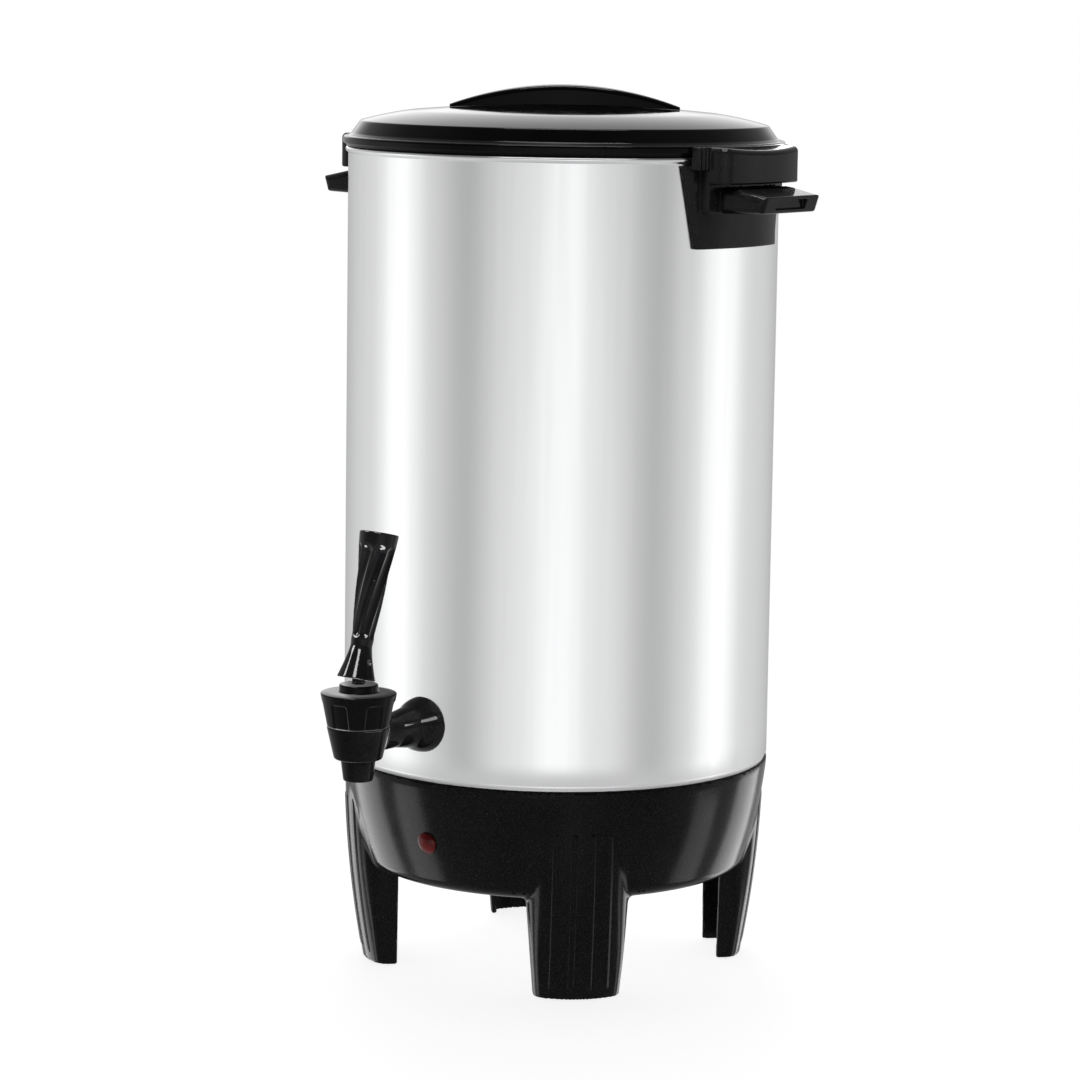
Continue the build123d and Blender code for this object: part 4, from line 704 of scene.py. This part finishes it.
# signed distance to a convex outline, negative inside, its corners rounded
def polygonField(px, pz, points, r):
    made = None
    for (x1, z1), (x2, z2) in zip(points, points[1:] + points[:1]):
        length = math.hypot(x2 - x1, z2 - z1)
        away = ((px - x1) * (z2 - z1) - (pz - z1) * (x2 - x1)) / length
        made = away if made is None else roundMax(made, away, r)
    return made


def plateField(x, y, z):
    f, rho = gripForm, np.hypot(x, y)

    def sector(outer, half, low, high, r):
        middle = ((f["inner"] + outer) / 2, 0, (low + high) / 2)
        reach = ((outer - f["inner"]) / 2, half, (high - low) / 2)
        return blockField(rho, y, z, middle, reach, r)

    share = (z - f["bottom"]) / (f["flangeTop"] - f["bottom"])
    narrow, broad = f["flangeHalf"]
    wide = (np.abs(y) - narrow - (broad - narrow) * share) * f["slant"]
    flange = sector(f["inner"] + f["flange"], 2 * broad, f["bottom"], f["flangeTop"],
                    f["plateEdge"])
    plate = sector(f["inner"] + f["plate"], f["plateHalf"], f["bottom"],
                   f["ledge"] + f["overlap"], f["plateEdge"])
    back = sector(f["inner"] + f["back"], f["half"], f["ledge"], f["top"], f["edge"])
    flange = roundMax(flange, wide, f["plateEdge"])
    return np.minimum(np.minimum(flange, plate), back)


# the hollow box, seen from above as a block with rounded corners
def drumField(rho, y, inner, outer, half, plan):
    across = np.abs(rho - (inner + outer) / 2) - (outer - inner) / 2 + plan
    aside = np.abs(y) - half + plan
    beyond = np.hypot(np.maximum(across, 0), np.maximum(aside, 0))
    return beyond + np.minimum(np.maximum(across, aside), 0) - plan


def boxField(rho, y, z, solid):
    f, half, top = boxForm, gripForm["half"], gripForm["top"]
    dished = z - top + f["dish"] * np.clip(1 - (y / half) ** 2, 0, 1)
    box = roundMax(drumField(rho, y, f["inner"], f["outer"], half, f["plan"]), dished, f["crown"])
    box = roundMax(box, f["bottom"] - z, f["edge"])
    solid = np.minimum(solid, np.maximum(box, gripForm["inner"] - rho))
    hollow = drumField(rho, y, gripForm["inner"] + gripForm["back"], f["outer"] - f["wall"],
                       half - f["wall"], f["hollowPlan"])
    hollow = np.maximum(hollow, np.maximum(z - top + f["wall"], f["bottom"] - f["open"] - z))
    return np.maximum(solid, -hollow)


def tongueField(x, y, z):
    f = tongueForm
    grip = roundMax(polygonField(x, z, f["points"], gripForm["edge"]), np.abs(y) - f["half"],
                    f["corner"])
    grip = np.maximum(grip, gripForm["inner"] + f["sunk"] - np.hypot(x, y))
    hole = blockField(x, y, z, (f["recess"][0], 0, f["recess"][1]), f["recessHalf"],
                      f["recessEdge"])
    return np.maximum(grip, -hole)


# a grooved lug at each end of the box
def lugField(rho, y, z):
    f, inner, half, top = lugForm, gripForm["inner"], gripForm["half"], gripForm["top"]
    middle = ((inner + f["outer"]) / 2, half + f["width"] / 2 - f["sunk"], (f["bottom"] + top) / 2)
    reach = ((f["outer"] - inner) / 2, f["width"] / 2 + f["sunk"], (top - f["bottom"]) / 2)
    lug = blockField(rho, np.abs(y), z, middle, reach, f["edge"])
    first, step = half + f["grooveFrom"], f["grooveStep"]
    groove = np.hypot(rho - f["outer"], (np.abs(y) - first) % step - step / 2) - f["groove"]
    return np.maximum(lug, -np.maximum(groove, first - np.abs(y)))


def gripField(x, y, z):
    rho = np.hypot(x, y)
    solid = boxField(rho, y, z, plateField(x, y, z))
    solid = np.minimum(np.minimum(solid, tongueField(x, y, z)), lugField(rho, y, z))
    rim = np.maximum(rho - boxForm["clear"], gripForm["flangeTop"] - z)
    return np.maximum(solid, -rim)


rightGrip = netMesh("gripRight", gripField, *gripForm["grid"], gripForm["cell"])
dress(rightGrip, "urn", "handle_black", "handle_right")
mirrored = rightGrip.data.copy()
leftGrip = addObject("gripLeft", mirrored)
mirrored.transform(Matrix.Rotation(math.pi, 4, "Z"))
mirrored.materials.clear()
dress(leftGrip, "urn", "handle_black", "handle_left")

# tap: body with trumpet and spout
tapForm = dict(reach=174.0, axis=150.0, pipe=(9.3, 12.6), pipeAt=(146.0, 124.0),
               dome=14.9, domeAt=(119.2, 149.7), boreAxis=152.0, bore=5.5, shankAxis=151.0,
               shank=8.0, shankEnd=104.2, wall=120.25, foot=127.2, spoutLow=7.9,
               spoutHigh=9.7, step=139.0, valveLow=12.9, seam=156.7, seamRadius=17.0,
               neck=13.4, neckTop=165.7, cavity=10.6, seat=146.0, spoutBore=5.6,
               relief=20.5, blend=3.0, domeBlend=4.0, slant=0.98, pipeMost=1.2, overlap=2.0,
               neckSunk=4.0, drop=1.0, boreEnd=5.3, edges=(0.8, 1.1, 0.5),
               grid=((-18.6, -192.2, 126), (18.6, -103, 167)), cell=0.62)


# a solid cone about the axis, from one radius to another, its edges rounded
def coneField(rho, z, low, high, z0, z1, r):
    slope = (high - low) / (z1 - z0)
    side = (rho - low - slope * (z - z0)) / math.sqrt(1 + slope * slope)
    return roundMax(side, np.maximum(z0 - z, z - z1), r)


def tapField(x, y, z):
    f = tapForm
    rho = np.hypot(x, y + f["reach"])
    off = np.hypot(x, z - f["axis"])
    spoutEdge, valveEdge, neckEdge = f["edges"]
    spout = coneField(rho, z, f["spoutLow"], f["spoutHigh"], f["foot"], f["step"] + f["overlap"],
                      spoutEdge)
    valve = coneField(rho, z, f["valveLow"], f["seamRadius"], f["step"], f["seam"], valveEdge)
    neck = coneField(rho, z, f["neck"], f["neck"], f["step"] + f["neckSunk"], f["neckTop"],
                     neckEdge)
    far, near = f["pipeAt"]
    share = np.clip((far + y) / (far - near), 0, f["pipeMost"])
    pipe = (off - f["pipe"][0] - (f["pipe"][1] - f["pipe"][0]) * share) * f["slant"]
    pipe = np.maximum(pipe, -y - f["reach"])
    dome = np.sqrt(x * x + (y + f["domeAt"][0]) ** 2 + (z - f["domeAt"][1]) ** 2) - f["dome"]
    pipe = smoothMin(pipe, dome, f["domeBlend"])
    pipe = np.maximum(pipe, f["wall"] - np.hypot(x, y))
    shank = np.maximum(np.hypot(x, z - f["shankAxis"]) - f["shank"],
                       np.maximum(y + f["shankEnd"], -y - f["wall"] - f["overlap"]))
    valve = np.minimum(valve, spout)
    solid = np.minimum(smoothMin(valve, pipe, f["blend"]), np.minimum(neck, shank))
    crown = np.maximum(np.maximum(f["neck"] - rho, rho - f["relief"]), f["seam"] - z)
    bowl = np.maximum(rho - f["cavity"], f["seat"] - z)
    drop = np.maximum(rho - f["spoutBore"], z - f["seat"] - f["drop"])
    bore = np.maximum(np.hypot(x, z - f["boreAxis"]) - f["bore"],
                      -y - f["reach"] + f["boreEnd"])
    for cut in (crown, bowl, drop, bore):
        solid = np.maximum(solid, -cut)
    return solid


dress(netMesh("tapMoulding", tapField, *tapForm["grid"], tapForm["cell"]),
      "urn", "tap_black", "tap_body")

# fluted cap over the tap's seat
capForm = dict(low=156.85, radius=17.0, top=174.0, wide=20.5, crown=177.6, collar=10.4,
               collarTop=179.4, hole=3.4, cavity=9.8, cavityTop=172.2, neck=13.45,
               neckTop=165.7, panels=6, panelTurn=37.0, panelHalf=4.4, panelTop=170.0,
               panelDepth=0.9, panelCorner=1.6, panelFoot=0.5, panelEdge=0.9, edge=0.9, brim=1.2,
               slant=0.99, sunk=2.0, crownDrop=0.7, crownEdge=0.8,
               grid=((-21.8, -195.8, 155.8), (21.8, -152.2, 180.4)), cell=0.5)


def capField(x, y, z):
    f = capForm
    px, py = x, y + tapForm["reach"]
    rho = np.hypot(px, py)
    body = coneField(rho, z, f["radius"], f["wide"], f["low"], f["top"] + f["brim"], f["edge"])
    slope = (f["crown"] - f["top"] - f["crownDrop"]) / (f["wide"] - f["collar"])
    crown = (z - f["crown"] + slope * (rho - f["collar"])) * f["slant"]
    body = roundMax(body, crown, f["crownEdge"])
    collar = coneField(rho, z, f["collar"], f["collar"], f["top"] - f["sunk"], f["collarTop"],
                       f["crownEdge"])
    solid = smoothMin(body, collar, f["crownEdge"])
    sector = math.radians(360 / f["panels"])
    turn = np.arctan2(py, px) - math.radians(f["panelTurn"])
    turn = (turn + sector / 2) % sector - sector / 2
    wall = f["radius"] + (f["wide"] - f["radius"]) * (z - f["low"]) / (f["top"] - f["low"])
    panel = roundMax(np.abs(turn) * rho - f["panelHalf"], z - f["panelTop"], f["panelCorner"])
    panel = roundMax(panel, wall - f["panelDepth"] - rho, f["panelFoot"])
    solid = roundMax(solid, -panel, f["panelEdge"])
    solid = np.maximum(solid, f["hole"] - rho)
    solid = np.maximum(solid, -np.maximum(rho - f["cavity"], z - f["cavityTop"]))
    return np.maximum(solid, -np.maximum(rho - f["neck"], z - f["neckTop"]))


dress(netMesh("tapCap", capField, *capForm["grid"], capForm["cell"]), "urn", "tap_black",
      "tap_bonnet")

# lever with twisted flutes, a faceted skirt and a slot for the stem
leverForm = dict(pin=191.462, lean=13.5, travel=38.0, skirt=10.6, skirtDrop=9.5,
                 skirtCurve=1.25, waist=5.8, waistRise=8.4, top=10.6, topRise=69.0, slant=0.95,
                 edge=0.8, flutes=8, start=15.0, end=58.2, twist=52.0, fluteLow=2.5,
                 fluteHigh=4.0, depth=0.46, ridge=1.0, facets=10, facetTop=1.0, facetFade=4.0,
                 flat=0.35, slot=2.85, slotReach=4.35, slotDrop=0.35, slotClear=1.2,
                 pinRadius=1.5, grid=((-11.6, -188, 178.7), (11.6, -146, 262)), cell=0.46)


def leverField(x, y, z):
    f = leverForm
    lean = math.radians(f["lean"])
    dy, dz = y + tapForm["reach"], z - f["pin"]
    py = dy * math.cos(lean) - dz * math.sin(lean)
    pz = dy * math.sin(lean) + dz * math.cos(lean)
    rho = np.hypot(x, py)
    turn = np.arctan2(py, x)
    skirt = f["waist"] + (f["skirt"] - f["waist"]) * np.clip(
        (f["waistRise"] - pz) / (f["waistRise"] + f["skirtDrop"]), 0, 1) ** f["skirtCurve"]
    slope = (f["top"] - f["waist"]) / (f["topRise"] - f["waistRise"])
    grip = f["waist"] + slope * np.maximum(pz - f["waistRise"], 0)
    facet = 2 * math.pi / f["facets"]
    fold = (turn + facet / 2) % facet - facet / 2
    low = np.clip((f["waistRise"] - f["facetTop"] - pz) / f["facetFade"], 0, 1)
    skirt = skirt * (1 + low * (math.cos(facet / 2) / np.cos(fold) - 1) * f["flat"])
    radius = np.where(pz < f["waistRise"], skirt, grip)
    ends = np.maximum(pz - f["topRise"], -f["skirtDrop"] - pz)
    body = roundMax((rho - radius) * f["slant"], ends, f["edge"])
    flat = np.clip(pz, f["start"], f["end"])
    share = (flat - f["start"]) / (f["end"] - f["start"])
    size = f["fluteLow"] + (f["fluteHigh"] - f["fluteLow"]) * share
    middle = f["waist"] + slope * (flat - f["waistRise"]) + size * f["depth"]
    sector = 2 * math.pi / f["flutes"]
    away = turn - math.radians(f["twist"]) * share
    away = (away + sector / 2) % sector - sector / 2
    gap = np.hypot(rho * np.cos(away) - middle, rho * np.sin(away))
    flute = np.hypot(gap, pz - flat) - size
    body = roundMax(body, -flute, f["ridge"])
    reach = f["slotReach"]
    below = f["skirtDrop"] + f["slotDrop"]
    near = f["slot"] + f["slotClear"]
    user = near + below * math.sin(math.radians(f["travel"] - f["lean"]))
    tank = near + below * math.sin(lean)
    share = np.clip(-pz / below, 0, 1)
    slot = np.maximum(py - reach - (tank - reach) * share, -py - reach - (user - reach) * share)
    slot = np.maximum(np.maximum(slot, np.abs(x) - f["slot"]), pz - reach)
    pin = np.hypot(py, pz) - f["pinRadius"]
    return np.maximum(np.maximum(body, -slot), -pin)


dress(netMesh("leverGrip", leverField, *leverForm["grid"], leverForm["cell"]),
      "tap_lever", "lever_black", "tap_lever")
# the tap is kept out of reflections, so it leaves no dark stripe in the tank
for name in ("tapMoulding", "tapCap", "leverGrip", "tap_stem", "tap_seat_cup", "lever_pin"):
    bpy.data.objects[name].visible_glossy = False


# studio light that changes with the direction only: stops of (degrees round from the camera's
# side, left negative, level), one row each for low, level and high directions
worldLight = dict(
    camera=(1.2673, -1.6818),
    low=((0, 0.6), (60, 0.6), (110, 0.75), (180, 0.8)),
    level=((0, 1.2), (26, 0.86), (52, 0.5), (72, 0.74), (94, 1.28), (122, 0.74), (180, 0.45)),
    high=((-180, 1.75), (-168, 1.7), (-145, 0.6), (-110, 0.35), (-60, 0.15), (60, 0.15),
          (110, 0.35), (145, 0.55), (168, 1.15), (180, 1.7)),
    lowTurn=(-0.5, -0.3), highTurn=(0.0, 0.12), background=(1, 1, 1, 1),
)
toCamera = Vector((*worldLight["camera"], 0)).normalized()
toRight = Vector((-toCamera.y, toCamera.x, 0))


# stops that start at 0 hold for both sides alike
def clockRamp(tree, clock, stops):
    if stops[0][0] >= 0:
        stops = [(-a, v) for a, v in stops[::-1]] + list(stops[stops[0][0] == 0:])
    made = ramp(tree, clock, [(0.5 + a / 360, (v, v, v)) for a, v in stops])
    made.color_ramp.interpolation = "EASE"
    return made.outputs["Color"]


def makeWorld(form):
    world = bpy.data.worlds.new("studioWorld")
    bpy.context.scene.world = world
    world.use_nodes = True
    tree = world.node_tree
    tree.nodes.clear()
    coords = tree.nodes.new("ShaderNodeTexCoord")
    split = tree.nodes.new("ShaderNodeSeparateXYZ")
    link(tree, coords, "Generated", split, "Vector")

    def share(direction):
        parts = [mathsNode(tree, "MULTIPLY", split.outputs[i], direction[i]) for i in (0, 1)]
        return mathsNode(tree, "ADD", *parts)

    around = mathsNode(tree, "ARCTAN2", share(toRight), share(toCamera))
    around = mathsNode(tree, "DIVIDE", around, 2 * math.pi)
    clock = mathsNode(tree, "ADD", around, 0.5)
    light = clockRamp(tree, clock, form["low"])
    for name, turn in (("level", "lowTurn"), ("high", "highTurn")):
        above = clockRamp(tree, clock, form[name])
        rise = rangeNode(tree, split.outputs["Z"], form[turn])
        rise.interpolation_type = "SMOOTHSTEP"
        light = colourMix(tree, rise.outputs["Result"], light, above)
    lit, plain = (tree.nodes.new("ShaderNodeBackground") for each in range(2))
    tree.links.new(light, lit.inputs["Color"])
    plain.inputs["Color"].default_value = form["background"]
    path = tree.nodes.new("ShaderNodeLightPath")
    choose = tree.nodes.new("ShaderNodeMixShader")
    out = tree.nodes.new("ShaderNodeOutputWorld")
    sources = (path.outputs["Is Camera Ray"], lit.outputs[0], plain.outputs[0])
    for index, source in enumerate(sources):
        tree.links.new(source, choose.inputs[index])
    tree.links.new(choose.outputs[0], out.inputs["Surface"])
    print("world set")


makeWorld(worldLight)

# floor
floorSize = dict(radius=0.45, rings=8, segments=96, colour=(0.5, 0.5, 0.5, 1), glow=0.84)


def makeFloor(size):
    points, n = [(0, 0, 0)], size["segments"]
    for i in range(size["rings"]):
        r = size["radius"] * (i + 1) / size["rings"]
        points += [(r * math.cos(2 * math.pi * k / n), r * math.sin(2 * math.pi * k / n), 0)
                   for k in range(n)]
    faces = [(0, 1 + k, 1 + (k + 1) % n) for k in range(n)]
    for i in range(size["rings"] - 1):
        a, b = 1 + i * n, 1 + (i + 1) * n
        faces += [(a + k, b + k, b + (k + 1) % n, a + (k + 1) % n) for k in range(n)]
    made = meshObject("studioFloor", points, faces)
    pale = newMaterial("floorPale")
    tree = pale.node_tree
    out = tree.nodes.new("ShaderNodeOutputMaterial")
    matt = tree.nodes.new("ShaderNodeBsdfDiffuse")
    matt.inputs["Color"].default_value = size["colour"]
    glow = tree.nodes.new("ShaderNodeEmission")
    glow.inputs["Strength"].default_value = size["glow"]
    both = tree.nodes.new("ShaderNodeAddShader")
    link(tree, matt, "BSDF", both, 0)
    tree.links.new(glow.outputs[0], both.inputs[1])
    tree.links.new(both.outputs[0], out.inputs["Surface"])
    made.data.materials.append(pale)
    made.visible_glossy = False
    print("floor set")


makeFloor(floorSize)

# lamps, most of them for the black mouldings; the steel is left to the world's light
lampAim = Vector((0, 0, 0.3))
lampGroups = dict(
    tops=lambda name: name.startswith(("lid", "knob", "base", "leg", "grip", "handle", "lever")),
    grips=lambda name: name.startswith("grip"),
    lever=lambda name: name == "leverGrip",
    cap=lambda name: name == "tapCap",
    pipe=lambda name: name == "tapMoulding",
    base=lambda name: name in ("baseMoulding", "legRibs"),
    steel=lambda name: name == "tankWall",
)
groups = {}
for groupName, belongs in lampGroups.items():
    groups[groupName] = bpy.data.collections.new("lit_" + groupName)
    for piece in bpy.context.scene.objects:
        if piece.type == "MESH" and belongs(piece.name):
            groups[groupName].objects.link(piece)
# side is the angle round from the camera, left negative; far and height are in metres; alone
# is for a lamp in which only the pieces that it lights cast shadows
lampPlaces = dict(
    over=dict(side=0.0, far=-0.12, height=2.1, size=(1.0, 0.3), light=22.0, group="tops"),
    grip=dict(side=-10.0, far=1.1, height=2.0, size=(1.2, 1.2), light=14.0, group="grips"),
    gripRim=dict(side=174.0, far=2.2, height=0.66, size=(2.4, 0.7), light=2.0, group="grips",
                 alone=True),
    front=dict(side=-8.0, far=1.7, height=1.95, size=(1.3, 1.2), light=40.0, group="lever"),
    left=dict(side=-84.0, far=1.9, height=1.5, size=(1.1, 1.2), light=34.0, group="lever"),
    below=dict(side=-16.0, far=1.0, height=-1.1, size=(1.2, 1.0), light=40.0, group="lever",
               alone=True),
    rim=dict(side=-50.0, far=0.8, height=2.1, size=(0.9, 0.5), light=26.0, group="cap"),
    pipe=dict(side=62.0, far=1.8, height=1.1, size=(2.8, 0.4), light=34.0, group="pipe",
              alone=True),
    bead=dict(side=0.0, far=1.6, height=2.0, size=(2.6, 1.2), light=1.1, group="steel"),
    rimLeft=dict(side=-126.0, far=1.6, height=-0.6, size=(0.9, 0.8), light=4.0, group="base",
                 alone=True),
    rimRight=dict(side=132.0, far=1.6, height=-0.6, size=(0.8, 0.8), light=3.6, group="base",
                  alone=True),
    filletLeft=dict(side=-88.0, far=1.4, height=-0.7, size=(0.5, 0.7), light=5.0,
                    group="base", alone=True),
    filletRight=dict(side=92.0, far=1.4, height=-0.7, size=(0.45, 0.6), light=3.6,
                     group="base", alone=True),
)


def addLamp(name, place):
    angle = math.radians(place["side"])
    spot = (toCamera * math.cos(angle) + toRight * math.sin(angle)) * place["far"]
    spot.z = place["height"]
    lamp = bpy.data.lights.new(name + "Lamp", "AREA")
    lamp.shape = "RECTANGLE"
    lamp.size, lamp.size_y = place["size"]
    lamp.energy = place["light"] * math.pi * lamp.size * lamp.size_y
    made = addObject(name + "Lamp", lamp)
    made.location = spot
    made.rotation_euler = (lampAim - spot).to_track_quat("-Z", "Y").to_euler()
    made.light_linking.receiver_collection = groups[place["group"]]
    if "alone" in place:
        made.light_linking.blocker_collection = groups[place["group"]]


for lampName, lampPlace in lampPlaces.items():
    addLamp(lampName, lampPlace)
print("lamps:", len(lampPlaces))

# camera; position in metres, pitch and roll in radians
cameraPlace = dict(position=(1.2673, -1.6818, 0.5376), pitch=0.14120, roll=0.01510,
                   lens=125.477, sensor=36.0, shift=-0.01693, far=50.0)


def placeCamera(place):
    camera = addObject("urnCamera", bpy.data.cameras.new("urnCamera"))
    position, up = Vector(place["position"]), Vector((0, 0, 1))
    level = Vector((-position.x, -position.y, 0)).normalized()
    pitch, roll = place["pitch"], place["roll"]
    forward = level * math.cos(pitch) - up * math.sin(pitch)
    right = forward.cross(up).normalized()
    upward = right.cross(forward)
    tiltedRight = right * math.cos(roll) + upward * math.sin(roll)
    tiltedUp = upward * math.cos(roll) - right * math.sin(roll)
    turn = Matrix((tiltedRight, tiltedUp, -forward)).transposed().to_4x4()
    camera.matrix_world = Matrix.Translation(position) @ turn
    camera.data.sensor_width = place["sensor"]
    camera.data.lens = place["lens"]
    camera.data.shift_x = place["shift"]
    camera.data.clip_end = place["far"]
    bpy.context.scene.camera = camera
    bpy.context.scene.view_settings.view_transform = "Standard"
    print("camera set")


placeCamera(cameraPlace)
